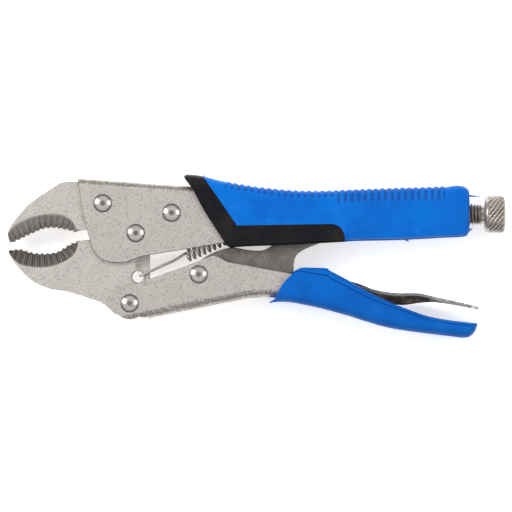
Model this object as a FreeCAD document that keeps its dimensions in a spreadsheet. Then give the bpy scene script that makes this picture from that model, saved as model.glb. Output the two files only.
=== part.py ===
"""Locking pliers with curved jaws, as an assembly of separate pieces.

The tool lies on its side. +X runs along its length from the jaws to the knob, parallel to the
adjusting screw; +Y points from the lower handle to the upper one; +Z is the thickness.
The origin is the middle of the jaws' mouth, on the tool's middle plane. Sizes are in millimetres.
"""
import FreeCAD, Part
import math
import os

import Sketcher

Vector = FreeCAD.Vector
UP = Vector(0, 0, 1)

DRIVING_SIZES = {
    # places in the side view
    "front_rivet_x": 23.9, "front_rivet_y": 17.0,
    "rear_rivet_x": 54.8, "rear_rivet_y": 12.7,
    "jaw_pivot_x": 38.7, "jaw_pivot_y": 3.6,
    "handle_pivot_x": 36.0, "handle_pivot_y": -27.9,
    "link_pivot_x": 67.0, "link_pivot_y": -14.9,
    "lever_pivot_x": 112.5, "lever_pivot_y": -19.4,
    "nose_x": 137.25, "nose_y": 11.25,
    "spring_hole_x": 39.6, "spring_hole_y": -16.1,
    "spring_anchor_x": 87.75, "spring_anchor_y": 5.85,
    "screw_axis_y": 12.05,
    "channel_rear_x": 184.5,
    "sleeve_rear_x": 192.1, "sleeve_rear_y": -37.2,
    "lever_tail_x": 192.9, "lever_tail_y": -29.9,
    # folded sheet
    "inner_width": 12.0,
    "sheet_thickness": 2.0,
    "bend_radius": 2.6,
    "channel_nose_radius": 10.5,
    "channel_waist_radius": 8.0,
    "channel_front_radius": 60.0,
    "roof_rise": 8.45,
    "handle_peak_radius": 3.0,
    "handle_bend_radius": 4.2,
    "handle_ear_radius": 7.2,
    "anchor_tab_thickness": 1.8,
    "anchor_tab_width": 5.0,
    # jaws
    "jaw_seat_gap": 0.1,
    "jaw_side_gap": 0.1,
    "jaw_crest_half_width": 1.0,
    "tooth_depth": 0.75,
    "jaw_pivot_hub_radius": 7.2,
    "jaw_pivot_relief_radius": 7.8,
    "handle_pivot_hub_radius": 6.6,
    "spring_hole_radius": 2.5,
    "spring_web_half_thickness": 2.5,
    "spring_recess_radius": 9.0,
    # rivets and pins
    "rivet_radius": 3.0,
    "rivet_head_radius": 4.05,
    "rivet_head_rise": 1.8,
    "lever_pin_radius": 2.0,
    "pivot_clearance": 0.05,
    # toggle link and release lever
    "link_thickness": 8.0,
    "link_hub_radius": 5.6,
    "link_nose_radius": 4.0,
    "link_heel_radius": 3.0,
    "lever_width": 11.0,
    "lever_sheet": 1.6,
    # spring
    "spring_wire_radius": 0.55,
    "spring_coil_radius": 3.5,
    "spring_front_leg": 23.7,
    "spring_rear_leg": 3.5,
    # adjusting screw
    "screw_tip_gap": 3.4,
    "thread_radius": 4.86,
    "thread_clearance": 0.05,
    "neck_radius": 4.3,
    "neck_length": 1.4,
    "thread_to_grip": 5.5,
    "spigot_radius": 3.0,
    "spigot_length": 7.0,
    "knob_radius": 8.37,
    "knob_length": 9.4,
    "knob_chamfer": 0.9,
    "knob_face_gap": 0.05,
    "end_block_length": 12.0,
    "end_block_floor": 6.4,
    # moulded grips
    "grip_wall": 2.25,
    "grip_edge_radius": 1.2,
    "grip_rear_wall": 4.0,
    "grip_screw_clearance": 0.64,
    "sleeve_edge_radius": 1.2,
}

document = FreeCAD.newDocument("LockingPliers")
sheet = document.addObject("Spreadsheet::Sheet", "Sizes")
for row, (alias, number) in enumerate(DRIVING_SIZES.items(), start=1):
    sheet.set(f"A{row}", alias)
    sheet.set(f"B{row}", str(number))
    sheet.setAlias(f"B{row}", alias)
document.recompute()


def operand(word):
    """The number that one word of an expression stands for: an alias of the sheet or a number."""
    if word in DRIVING_SIZES:
        return float(sheet.get(word))
    return float(word)


def value(expression):
    """The number of an expression made of aliases, numbers and + - * / with spaces between."""
    total, term, sign, action = 0.0, 0.0, 1.0, "+"
    for word in str(expression).split():
        if word in ("+", "-", "*", "/"):
            action = word
            continue
        number = operand(word)
        if action == "*":
            term *= number
        elif action == "/":
            term /= number
        else:
            total += sign * term
            sign, term = (1.0, number) if action == "+" else (-1.0, number)
    return total + sign * term


def bound(expression):
    """The same expression as FreeCAD reads it, with every alias looked up in the sheet."""
    words = str(expression).split()
    return " ".join(f"Sizes.{word}" if word in DRIVING_SIZES else word for word in words)


def near(anchor, right=0.0, up=0.0):
    """A point of the side view, as a pair of expressions, measured from a named place."""
    return f"{anchor}_x + {right}", f"{anchor}_y + {up}"


def spot(point):
    """A point of the side view as a vector."""
    return Vector(value(point[0]), value(point[1]), 0)


OUTER_WIDTH = "inner_width + 2 * sheet_thickness"
GRIP_WIDTH = "inner_width + 2 * sheet_thickness + 2 * grip_wall"
ROOF = "- sheet_thickness"


# ------------------------------------------------------------------ PartDesign helpers

def new_body(node):
    """An empty PartDesign body whose label is the node's name."""
    body = document.addObject("PartDesign::Body", node)
    body.Label = node
    return body


def new_sketch(body, name, role="XY_Plane"):
    """A sketch on one of the body's own origin planes."""
    plane = next(item for item in body.Origin.OriginFeatures if item.Role == role)
    sketch = body.newObject("Sketcher::SketchObject", f"{body.Label}_{name}")
    sketch.AttachmentSupport = (plane, [""])
    sketch.MapMode = "FlatFace"
    return sketch


def pin_point(sketch, geometry, end, point):
    """Hold one end of a sketch edge at a point given as two expressions."""
    for kind, expression in zip(("DistanceX", "DistanceY"), point):
        constraint = Sketcher.Constraint(kind, -1, 1, geometry, end, value(expression))
        index = sketch.addConstraint(constraint)
        sketch.setExpression(f"Constraints[{index}]", bound(expression))


def add_polygon(sketch, corners):
    """A closed outline of straight edges through the given points."""
    count = len(corners)
    places = [spot(corner) for corner in corners]
    first = sketch.GeometryCount
    for index in range(count):
        edge = Part.LineSegment(places[index], places[(index + 1) % count])
        sketch.addGeometry(edge, False)
    for index in range(count):
        joined = Sketcher.Constraint("Coincident", first + index, 2, first + (index + 1) % count, 1)
        sketch.addConstraint(joined)
    for index, corner in enumerate(corners):
        pin_point(sketch, first + index, 1, corner)


def add_circle(sketch, centre, radius):
    """A circle whose centre and radius are bound to the sheet."""
    index = sketch.addGeometry(Part.Circle(spot(centre), UP, value(radius)), False)
    constraint = sketch.addConstraint(Sketcher.Constraint("Radius", index, value(radius)))
    sketch.setExpression(f"Constraints[{constraint}]", bound(radius))
    pin_point(sketch, index, 3, centre)


def add_pad(body, sketch, thickness):
    """Thicken a sketch equally to both sides of its plane."""
    pad = body.newObject("PartDesign::Pad", f"{sketch.Name}_pad")
    pad.Profile = sketch
    pad.SideType = "Symmetric"
    pad.setExpression("Length", bound(thickness))
    document.recompute()
    return pad


def add_pocket(body, sketch, thickness):
    """Cut a sketch equally to both sides of its plane, and check that it took something away."""
    before = body.Shape.Volume
    pocket = body.newObject("PartDesign::Pocket", f"{sketch.Name}_pocket")
    pocket.Profile = sketch
    pocket.SideType = "Symmetric"
    pocket.setExpression("Length", bound(thickness))
    document.recompute()
    if not body.Shape.Volume < before - 1e-3:
        raise RuntimeError(f"{pocket.Name} cut nothing")
    return pocket


def pad_outline(body, name, corners, thickness):
    """One padded polygon."""
    sketch = new_sketch(body, name)
    add_polygon(sketch, corners)
    return add_pad(body, sketch, thickness)


def cut_outline(body, name, corners, thickness):
    """One pocketed polygon."""
    sketch = new_sketch(body, name)
    add_polygon(sketch, corners)
    return add_pocket(body, sketch, thickness)


def cut_holes(body, name, holes, thickness):
    """Round holes through the thickness, each a centre and a radius."""
    sketch = new_sketch(body, name)
    for centre, radius in holes:
        add_circle(sketch, centre, radius)
    return add_pocket(body, sketch, thickness)


def pad_discs(body, name, discs, thickness):
    """Round bosses, each a centre and a radius, joined to the body one at a time."""
    for number, (centre, radius) in enumerate(discs, start=1):
        sketch = new_sketch(body, f"{name}_{number}")
        add_circle(sketch, centre, radius)
        add_pad(body, sketch, thickness)


def same_place(first, second):
    """Whether two points agree in the side view."""
    return math.hypot(first.x - second.x, first.y - second.y) < 1e-4


def upright_edges(body, corners):
    """Names of the edges through the thickness that stand on the given corners."""
    names = []
    places = [spot(corner) for corner in corners]
    for index, edge in enumerate(body.Shape.Edges, start=1):
        ends = [vertex.Point for vertex in edge.Vertexes]
        if len(ends) != 2 or not same_place(ends[0], ends[1]):
            continue
        if any(same_place(ends[0], place) for place in places):
            names.append(f"Edge{index}")
    return names


def rim_edges(body, corners, width):
    """Names of the edges that run from corner to corner on the two flat flanks."""
    names = []
    places = [spot(corner) for corner in corners]
    half = value(width) / 2
    for index, edge in enumerate(body.Shape.Edges, start=1):
        ends = [vertex.Point for vertex in edge.Vertexes]
        if len(ends) != 2 or same_place(ends[0], ends[1]):
            continue
        if any(abs(abs(end.z) - half) > 1e-4 for end in ends):
            continue
        if all(any(same_place(end, place) for place in places) for end in ends):
            names.append(f"Edge{index}")
    return names


def add_fillet(body, name, edges, radius):
    """Round the named edges of the body's present shape."""
    if not edges:
        raise RuntimeError(f"{body.Label} {name}: no edges to round")
    base = body.Tip
    fillet = body.newObject("PartDesign::Fillet", f"{body.Label}_{name}")
    fillet.Base = (base, edges)
    fillet.setExpression("Radius", bound(radius))
    document.recompute()
    return fillet


def bind_place(item, right, up, across=None):
    """Tie a piece's place to the sheet."""
    item.setExpression("Placement.Base.x", bound(right))
    item.setExpression("Placement.Base.y", bound(up))
    if across is not None:
        item.setExpression("Placement.Base.z", bound(across))


# ------------------------------------------------------------------ folded channels

FRONT_TOP = near("front_rivet", -11.2, 11.1)
CHANNEL_NOSE = near("jaw_pivot", -17.8, -13.2)
CHANNEL_CHIN = near("jaw_pivot", -4.9, -13.2)
CHANNEL_WAIST = near("jaw_pivot", 2.8, -10.4)
SHOULDER_TOP = near("rear_rivet", 7.4, 11.8)
MIDDLE_TOP = near("nose", -25.0, 8.75)
CHANNEL_FRONT = near("front_rivet", -9.3, -3.5)
REAR_TOP = ("channel_rear_x", "screw_axis_y + roof_rise")
REAR_BOTTOM = ("channel_rear_x", "screw_axis_y - 8.25")
CHANNEL_OUTLINE = [
    FRONT_TOP,
    CHANNEL_FRONT,
    CHANNEL_NOSE,
    CHANNEL_CHIN,
    CHANNEL_WAIST,
    near("rear_rivet", 24.2, -13.4),
    near("nose", -33.75, -11.25),
    near("nose", -4.85, -9.65),
    REAR_BOTTOM,
    REAR_TOP,
    MIDDLE_TOP,
    SHOULDER_TOP,
]
CHANNEL_TOP_LINE = [FRONT_TOP, SHOULDER_TOP, MIDDLE_TOP, REAR_TOP]


def under_roof(point, right=0.0):
    """The point one sheet thickness below a point of the channel's top line."""
    return f"{point[0]} + {right}", f"{point[1]} {ROOF}"


def make_upper_channel():
    """Fixed upper handle: a sheet folded down on both sides, open at its bottom and ends."""
    body = new_body("upper_channel")
    pad_outline(body, "outline", CHANNEL_OUTLINE, OUTER_WIDTH)
    nose = upright_edges(body, [CHANNEL_NOSE])
    add_fillet(body, "nose", nose, "channel_nose_radius")
    add_fillet(body, "waist", upright_edges(body, [CHANNEL_WAIST]), "channel_waist_radius")
    add_fillet(body, "front", upright_edges(body, [CHANNEL_FRONT]), "channel_front_radius")
    add_fillet(body, "fold", rim_edges(body, CHANNEL_TOP_LINE, OUTER_WIDTH), "bend_radius")
    inside = [under_roof(FRONT_TOP, -3.0)]
    inside += [under_roof(point) for point in (FRONT_TOP, SHOULDER_TOP, MIDDLE_TOP)]
    inside += [under_roof(REAR_TOP, 5.0), ("channel_rear_x + 5", "jaw_pivot_y - 30")]
    inside += [(f"{FRONT_TOP[0]} - 3.0", "jaw_pivot_y - 30")]
    cut_outline(body, "inside", inside, "inner_width")
    tab_front, tab_rear = "spring_anchor_x", "spring_anchor_x + anchor_tab_thickness"
    tab_foot, tab_root = "spring_anchor_y - 2.2", f"{MIDDLE_TOP[1]} + 1.2"
    tab = [(tab_front, tab_foot), (tab_rear, tab_foot), (tab_rear, tab_root), (tab_front, tab_root)]
    pad_outline(body, "spring_tab", tab, "anchor_tab_width")
    holes = [(near(name), "rivet_radius") for name in ("front_rivet", "rear_rivet", "jaw_pivot")]
    cut_holes(body, "rivet_holes", holes, OUTER_WIDTH)
    return body


EAR_TOP = near("handle_pivot", -2.7, 6.7)
EAR_BOTTOM = near("handle_pivot", 4.0, -6.0)
HANDLE_CORNER = near("handle_pivot", 8.3, -6.8)
HANDLE_PEAK = near("link_pivot", 7.0, 8.6)
HANDLE_REAR_TOP = ("sleeve_rear_x - 8.1", "sleeve_rear_y - 0.9")
HANDLE_REAR_BOTTOM = ("sleeve_rear_x - 8.1", "sleeve_rear_y - 4.1")
HANDLE_BOTTOM_LINE = [
    HANDLE_CORNER,
    near("link_pivot", 22.4, -10.7),
    near("lever_pivot", -13.7, -5.8),
    near("lever_pivot", 7.7, -8.3),
    near("lever_pivot", 39.5, -17.2),
    HANDLE_REAR_BOTTOM,
]
HANDLE_TOP_LINE = [
    HANDLE_REAR_TOP,
    near("lever_pivot", 39.5, -9.8),
    near("lever_pivot", 26.5, -3.2),
    near("lever_pivot", 13.5, 3.0),
    near("lever_pivot", -4.2, 4.7),
    near("link_pivot", 12.9, 5.4),
    HANDLE_PEAK,
]
HANDLE_OUTLINE = [EAR_TOP, EAR_BOTTOM] + HANDLE_BOTTOM_LINE + HANDLE_TOP_LINE


def above_web(point, right=0.0):
    """The point one sheet thickness above a point of the handle's bottom line."""
    return f"{point[0]} + {right}", f"{point[1]} + sheet_thickness"


def make_lower_handle():
    """Moving handle: a sheet folded up on both sides, with two ears round the lower jaw."""
    body = new_body("lower_handle")
    pad_outline(body, "outline", HANDLE_OUTLINE, OUTER_WIDTH)
    pad_discs(body, "ear", [(near("handle_pivot"), "handle_ear_radius")], OUTER_WIDTH)
    add_fillet(body, "peak", upright_edges(body, [HANDLE_PEAK]), "handle_peak_radius")
    fold = rim_edges(body, HANDLE_BOTTOM_LINE[:5], OUTER_WIDTH)
    add_fillet(body, "fold", fold, "handle_bend_radius")
    inside = [above_web(HANDLE_BOTTOM_LINE[0], -20.0), above_web(HANDLE_BOTTOM_LINE[0])]
    inside[0] = (inside[0][0], "handle_pivot_y - 20")
    inside.insert(1, (HANDLE_CORNER[0], "handle_pivot_y - 20"))
    inside += [above_web(point) for point in HANDLE_BOTTOM_LINE[1:-1]]
    inside += [above_web(HANDLE_REAR_BOTTOM, 5.0), ("sleeve_rear_x", "link_pivot_y + 30")]
    inside += [("handle_pivot_x - 11.7", "link_pivot_y + 30")]
    cut_outline(body, "inside", inside, "inner_width")
    holes = [
        (near("handle_pivot"), "rivet_radius"),
        (near("link_pivot"), "rivet_radius"),
        (near("lever_pivot"), "lever_pin_radius"),
    ]
    cut_holes(body, "pivot_holes", holes, OUTER_WIDTH)
    return body


# ------------------------------------------------------------------ rivets and pins

def make_rivet(node, anchor):
    """A rivet through the folded sheet with a low dome on each side."""
    body = new_body(node)
    flank = "inner_width / 2 + sheet_thickness"
    sketch = new_sketch(body, "profile", "XZ_Plane")
    corners = [
        ("0", f"{flank} + rivet_head_rise"),
        ("rivet_head_radius", flank),
        ("rivet_radius", flank),
        ("rivet_radius", f"0 - {flank.replace('+', '-')}"),
        ("rivet_head_radius", f"0 - {flank.replace('+', '-')}"),
        ("0", f"0 - {flank.replace('+', '-')} - rivet_head_rise"),
    ]
    places = [spot(corner) for corner in corners]
    rise, wide = value("rivet_head_rise"), value("rivet_head_radius")
    dome_radius = (rise * rise + wide * wide) / (2 * rise)
    half_angle = math.asin(wide / dome_radius)
    top_centre = Vector(0, places[0].y - dome_radius, 0)
    bottom_centre = Vector(0, places[5].y + dome_radius, 0)
    right = math.pi / 2
    top = Part.ArcOfCircle(Part.Circle(top_centre, UP, dome_radius), right - half_angle, right)
    bottom = Part.ArcOfCircle(Part.Circle(bottom_centre, UP, dome_radius),
                              -right, half_angle - right)
    sketch.addGeometry(top, False)
    for index in (1, 2, 3):
        sketch.addGeometry(Part.LineSegment(places[index], places[index + 1]), False)
    sketch.addGeometry(bottom, False)
    sketch.addGeometry(Part.LineSegment(places[5], places[0]), False)
    pairs = [(0, 1, 1, 1), (1, 2, 2, 1), (2, 2, 3, 1), (3, 2, 4, 2), (4, 1, 5, 1), (5, 2, 0, 2)]
    for pair in pairs:
        sketch.addConstraint(Sketcher.Constraint("Coincident", *pair))
    for arc in (0, 4):
        sketch.addConstraint(Sketcher.Constraint("PointOnObject", arc, 3, -2))
    pin_point(sketch, 5, 2, corners[0])
    for index in (1, 2, 3):
        pin_point(sketch, index, 1, corners[index])
    pin_point(sketch, 3, 2, corners[4])
    pin_point(sketch, 5, 1, corners[5])
    turned = body.newObject("PartDesign::Revolution", f"{node}_turned")
    turned.Profile = sketch
    turned.ReferenceAxis = (sketch, ["V_Axis"])
    turned.Angle = 360
    bind_place(body, f"{anchor}_x", f"{anchor}_y")
    return body


def make_release_lever_pin():
    """A plain pin, flush with the handle's flanks under the sleeve."""
    pin = document.addObject("Part::Cylinder", "release_lever_pin")
    pin.Label = "release_lever_pin"
    pin.setExpression("Radius", bound("lever_pin_radius"))
    pin.setExpression("Height", bound(OUTER_WIDTH))
    bind_place(pin, "lever_pivot_x", "lever_pivot_y", "0 - inner_width / 2 - sheet_thickness")
    return pin


# ------------------------------------------------------------------ link and lever

LINK_HEEL = near("lever_pivot", -2.6, 11.0)
LINK_BODY = [
    near("link_pivot", 0.0, 3.0),
    near("link_pivot", 5.0, 8.6),
    near("link_pivot", 13.4, 11.9),
    near("link_pivot", 17.7, 11.75),
    near("link_pivot", 27.8, 10.6),
    near("link_pivot", 32.2, 12.4),
    near("nose", -25.2, -5.6),
    near("nose", -1.6, 3.66),
    near("nose", 1.9, -3.52),
    near("nose", -15.7, -12.1),
    LINK_HEEL,
    near("lever_pivot", -2.9, 5.0),
    near("lever_pivot", -8.5, 3.0),
    near("link_pivot", 29.0, -4.1),
    near("link_pivot", 18.0, -5.6),
    near("link_pivot", 0.0, -5.6),
]


def make_toggle_link():
    """The plate between the lower handle's pivot and the adjusting screw's tip."""
    body = new_body("toggle_link")
    pad_outline(body, "outline", LINK_BODY, "link_thickness")
    ends = [(near("link_pivot"), "link_hub_radius"), (near("nose"), "link_nose_radius")]
    pad_discs(body, "end", ends, "link_thickness")
    add_fillet(body, "heel", upright_edges(body, [LINK_HEEL]), "link_heel_radius")
    hole = [(near("link_pivot"), "rivet_radius + pivot_clearance")]
    cut_holes(body, "pivot_hole", hole, "link_thickness")
    return body


LEVER_TOP_LINE = [
    near("lever_pivot", -9.0, 0.7),
    near("lever_pivot", -4.5, 2.5),
    near("lever_pivot", 5.5, 3.8),
    near("lever_pivot", 15.5, 2.9),
    near("lever_pivot", 25.7, 0.5),
    near("lever_pivot", 32.6, -2.1),
    near("lever_pivot", 38.3, -3.35),
    near("lever_pivot", 50.3, -3.85),
    near("lever_tail", -25.8, 6.2),
]
LEVER_TAIL_LINE = [
    near("lever_tail", -10.7, 2.9),
    near("lever_tail"),
    near("lever_tail", -0.4, -0.9),
    near("lever_tail", -10.7, 1.2),
    near("lever_tail", -19.3, 2.7),
    near("lever_tail", -23.7, 2.6),
]
LEVER_LOW_LINE = [
    near("lever_pivot", 52.5, -8.5),
    near("lever_pivot", 44.7, -9.3),
    near("lever_pivot", 32.5, -7.1),
    near("lever_pivot", 17.5, -3.6),
    near("lever_pivot", 0.0, -3.6),
    near("lever_pivot", -6.5, -3.6),
    near("lever_pivot", -9.3, -1.2),
]


def make_release_lever():
    """The stamped lever in the lower handle: a top strip with two flanges folded down."""
    body = new_body("release_lever")
    outline = LEVER_TOP_LINE + LEVER_TAIL_LINE + LEVER_LOW_LINE
    pad_outline(body, "outline", outline, "lever_width")
    inside = [(x, f"{y} - lever_sheet") for x, y in LEVER_TOP_LINE]
    inside += [("lever_tail_x - 21", "lever_tail_y + 1.5"), ("lever_tail_x - 21", "lever_pivot_y - 16")]
    inside += [("lever_pivot_x - 12", "lever_pivot_y - 16"), ("lever_pivot_x - 12", "lever_pivot_y - 2.2")]
    cut_outline(body, "inside", inside, "lever_width - 2 * lever_sheet")
    hole = [(near("lever_pivot"), "lever_pin_radius + pivot_clearance")]
    cut_holes(body, "pin_hole", hole, "lever_width")
    return body


# ------------------------------------------------------------------ adjusting screw

GRIP_REAR = "channel_rear_x + grip_rear_wall"
THREAD_END = f"{GRIP_REAR} + thread_to_grip"
NECK_END = f"{THREAD_END} + neck_length"
SCREW_TIP = "nose_x + link_nose_radius + screw_tip_gap"


def turn_about_x(body, corners):
    """Turn a profile of corners (along, out) into a solid about the body's own X axis."""
    sketch = new_sketch(body, "profile")
    add_polygon(sketch, corners)
    turned = body.newObject("PartDesign::Revolution", f"{body.Label}_turned")
    turned.Profile = sketch
    turned.ReferenceAxis = (sketch, ["H_Axis"])
    turned.Angle = 360
    document.recompute()
    return turned


def make_adjusting_screw():
    """The threaded rod as its outer cylinder, with a coned tip, a neck and the knob's spigot."""
    body = new_body("adjusting_screw")
    turn_about_x(body, [
        (SCREW_TIP, "0"),
        (SCREW_TIP, "thread_radius - 1.6"),
        (f"{SCREW_TIP} + 1.6", "thread_radius"),
        (THREAD_END, "thread_radius"),
        (THREAD_END, "neck_radius"),
        (NECK_END, "neck_radius"),
        (NECK_END, "spigot_radius"),
        (f"{NECK_END} + spigot_length", "spigot_radius"),
        (f"{NECK_END} + spigot_length", "0"),
    ])
    body.setExpression("Placement.Base.y", bound("screw_axis_y"))
    return body


def make_screw_knob():
    """The knurled head, as its outer shape, bored for the rod's spigot."""
    body = new_body("screw_knob")
    face = f"{NECK_END} + knob_face_gap"
    back = f"{NECK_END} + knob_length"
    bore = "spigot_radius + pivot_clearance"
    depth = f"{NECK_END} + spigot_length + 0.2"
    turn_about_x(body, [
        (face, bore),
        (face, "knob_radius - knob_chamfer"),
        (f"{face} + knob_chamfer", "knob_radius"),
        (f"{back} - knob_chamfer", "knob_radius"),
        (back, "knob_radius - knob_chamfer"),
        (back, "0"),
        (depth, "0"),
        (depth, bore),
    ])
    body.setExpression("Placement.Base.y", bound("screw_axis_y"))
    return body


def make_threaded_end_block():
    """The block between the channel's sides at its rear end, with the screw's thread."""
    body = new_body("threaded_end_block")
    front = "channel_rear_x - end_block_length"
    floor = "screw_axis_y - end_block_floor"
    ceiling = "screw_axis_y + roof_rise - sheet_thickness - jaw_seat_gap"
    block = [(front, floor), ("channel_rear_x", floor), ("channel_rear_x", ceiling), (front, ceiling)]
    pad_outline(body, "block", block, "inner_width")
    sketch = new_sketch(body, "bore", "YZ_Plane")
    add_circle(sketch, ("screw_axis_y", "0"), "thread_radius + thread_clearance")
    add_pocket(body, sketch, "4 * channel_rear_x")
    return body


# ------------------------------------------------------------------ jaws

def curve_through(points):
    """A smooth curve through points of the side view."""
    spline = Part.BSplineCurve()
    spline.interpolate([spot(point) for point in points])
    return spline


def evenly_along(curve, count):
    """Points at equal steps of length along a curve, both ends included."""
    edge = curve.toShape()
    return edge.discretize(Number=count)


def toothed_points(curve, teeth, depth):
    """Crests on the curve and valleys to its left, one pair for each tooth."""
    points = evenly_along(curve, 2 * teeth + 1)
    result = []
    for index, point in enumerate(points):
        if index % 2 == 0:
            result.append(point)
            continue
        along = points[index + 1] - points[index - 1]
        along.normalize()
        left = Vector(-along.y, along.x, 0)
        result.append(point + left * depth)
    return result


def jaw_wire(height, mouth, nose_curve, back):
    """One closed outline of a jaw: mouth points, the curved outside and the straight rest."""
    lift = Vector(0, 0, height)
    edges = [Part.makeLine(a + lift, b + lift) for a, b in zip(mouth, mouth[1:])]
    outside = nose_curve.toShape()
    outside.translate(lift)
    edges.append(outside)
    chain = [nose_curve.EndPoint] + [spot(point) for point in back] + [mouth[0]]
    edges += [Part.makeLine(a + lift, b + lift) for a, b in zip(chain, chain[1:])]
    return Part.Wire(edges)


def jaw_solid(half_thickness, middle, side):
    """A ruled solid from one side's outline, over the toothed middle one, to the other side's."""
    crest = value("jaw_crest_half_width")
    wires = [jaw_wire(half_thickness, *side), jaw_wire(crest, *middle),
             jaw_wire(-crest, *middle), jaw_wire(-half_thickness, *side)]
    return Part.makeLoft(wires, True, True)


def disc(anchor, radius, low, high):
    """A cylinder through the thickness about a named place."""
    base = spot(near(anchor)) + Vector(0, 0, low)
    return Part.makeCylinder(radius, high - low, base, UP)


def new_feature(node, shape):
    """A piece whose shape is worked out with Part's own functions."""
    item = document.addObject("Part::Feature", node)
    item.Label = node
    item.Shape = shape
    item.Placement = FreeCAD.Placement()
    return item


TEETH = 13


def make_upper_jaw():
    """Fixed jaw: a plate between the channel's sides with a toothed, hollowed front."""
    half = value("inner_width") / 2
    mouth_rear = ("15.8", "5.1")
    crest_line = curve_through([("12.3", "4.2"), ("7.8", "5.3"), ("2.5", "6.2"), ("-2.6", "5.9"),
                                ("-7.3", "4.1"), ("-11.5", "2.1"), ("-14.5", "0.7"),
                                ("-17.2", "-0.5")])
    side_line = curve_through([("12.3", "5.0"), ("10.3", "9.0"), ("4.5", "12.1"), ("-2.0", "12.2"),
                               ("-10.8", "9.9"), ("-17.8", "5.2"), ("-19.0", "3.0")])
    crown = [("-18.0", "5.6"), ("-14.6", "10.9"), ("-8.8", "17.1"), ("2.4", "24.7"), ("8.5", "26.7"),
             (f"{FRONT_TOP[0]} - 0.2", "26.6")]
    middle_nose = curve_through([("-17.2", "-0.5"), ("-19.2", "0.3"), ("-19.3", "2.2")] + crown)
    side_nose = curve_through([("-19.0", "3.0"), ("-18.7", "4.2")] + crown)
    seat = f"{ROOF} - jaw_seat_gap"
    back = [
        (f"{FRONT_TOP[0]} - 0.2", f"{FRONT_TOP[1]} {seat}"),
        (f"{SHOULDER_TOP[0]} - 1.2", f"{SHOULDER_TOP[1]} {seat}"),
        near("rear_rivet", 6.2, -2.7),
        near("rear_rivet", 3.2, -5.7),
        near("jaw_pivot", 11.3, 3.9),
        near("jaw_pivot", -8.7, 5.4),
        near("jaw_pivot", -16.7, 2.9),
    ]
    depth = value("tooth_depth")
    crests = toothed_points(crest_line, TEETH, -depth)
    sides = evenly_along(side_line, 2 * TEETH + 1)
    shape = jaw_solid(half, ([spot(mouth_rear)] + crests, middle_nose, back),
                      ([spot(mouth_rear)] + sides, side_nose, back))
    rivet = value("rivet_radius")
    for anchor in ("front_rivet", "rear_rivet"):
        shape = shape.cut(disc(anchor, rivet, -half, half))
    relief = value("jaw_pivot_relief_radius")
    shape = shape.cut(disc("jaw_pivot", relief, -half, half))
    return new_feature("upper_jaw", shape)


def make_lower_jaw():
    """Moving jaw: toothed front, hub on the jaw pivot and hub between the lower handle's ears."""
    half = value("inner_width") / 2 - value("jaw_side_gap")
    mouth_rear = ("16.7", "0.5")
    crest_line = curve_through([("12.3", "-0.2"), ("8.2", "-1.9"), ("3.6", "-4.7"), ("-1.7", "-5.6"),
                                ("-6.7", "-5.4"), ("-10.0", "-4.7"), ("-13.0", "-3.8"),
                                ("-17.8", "-3.9")])
    side_line = curve_through([("12.9", "-0.3"), ("12.4", "-3.6"), ("9.5", "-7.8"), ("2.4", "-11.2"),
                               ("-6.4", "-12.1"), ("-13.7", "-10.4"), ("-17.5", "-7.0"),
                               ("-18.6", "-4.6")])
    chin = [("-14.4", "-11.4"), ("-10.4", "-15.7"), ("-6.4", "-18.7"), ("-2.4", "-20.5"),
            ("7.2", "-22.7"), ("19.7", "-26.2"), near("handle_pivot", -12.0, -0.4),
            near("handle_pivot", -8.0, -3.8)]
    middle_nose = curve_through([("-17.8", "-3.9"), ("-18.9", "-4.6"), ("-17.3", "-7.6")] + chin)
    side_nose = curve_through([("-18.6", "-4.6"), ("-18.3", "-5.8"), ("-17.3", "-7.8")] + chin)
    back = [
        near("handle_pivot", -2.95, -5.9),
        near("handle_pivot", 6.5, 0.0),
        near("handle_pivot", 9.05, 5.9),
        near("spring_hole", 5.45, 12.1),
        near("jaw_pivot", 7.1, 0.5),
        near("jaw_pivot", 0.0, 7.1),
        near("jaw_pivot", -7.1, 0.5),
        near("jaw_pivot", -12.7, -2.1),
    ]
    depth = value("tooth_depth")
    crests = toothed_points(crest_line, TEETH, depth)
    sides = evenly_along(side_line, 2 * TEETH + 1)
    shape = jaw_solid(half, ([spot(mouth_rear)] + crests, middle_nose, back),
                      ([spot(mouth_rear)] + sides, side_nose, back))
    for anchor, hub in (("jaw_pivot", "jaw_pivot_hub_radius"),
                        ("handle_pivot", "handle_pivot_hub_radius")):
        shape = shape.fuse(disc(anchor, value(hub), -half, half))
    shape = shape.removeSplitter()
    bore = value("rivet_radius + pivot_clearance")
    for anchor in ("jaw_pivot", "handle_pivot"):
        shape = shape.cut(disc(anchor, bore, -half, half))
    shape = shape.cut(disc("spring_hole", value("spring_hole_radius"), -half, half))
    web = value("spring_web_half_thickness")
    recess = value("spring_recess_radius")
    for low, high in ((web, half + 1), (-half - 1, -web)):
        cutter = disc("spring_hole", recess, low, high)
        cutter.translate(Vector(7.9, 6.1, 0))
        shape = shape.cut(cutter)
    return new_feature("lower_jaw", shape)


# ------------------------------------------------------------------ return spring

def rod_between(start, end, radius):
    """A round rod with ball ends from one point to another."""
    along = end - start
    rod = Part.makeCylinder(radius, along.Length, start, along)
    return rod.fuse([Part.makeSphere(radius, start), Part.makeSphere(radius, end)])


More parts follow.
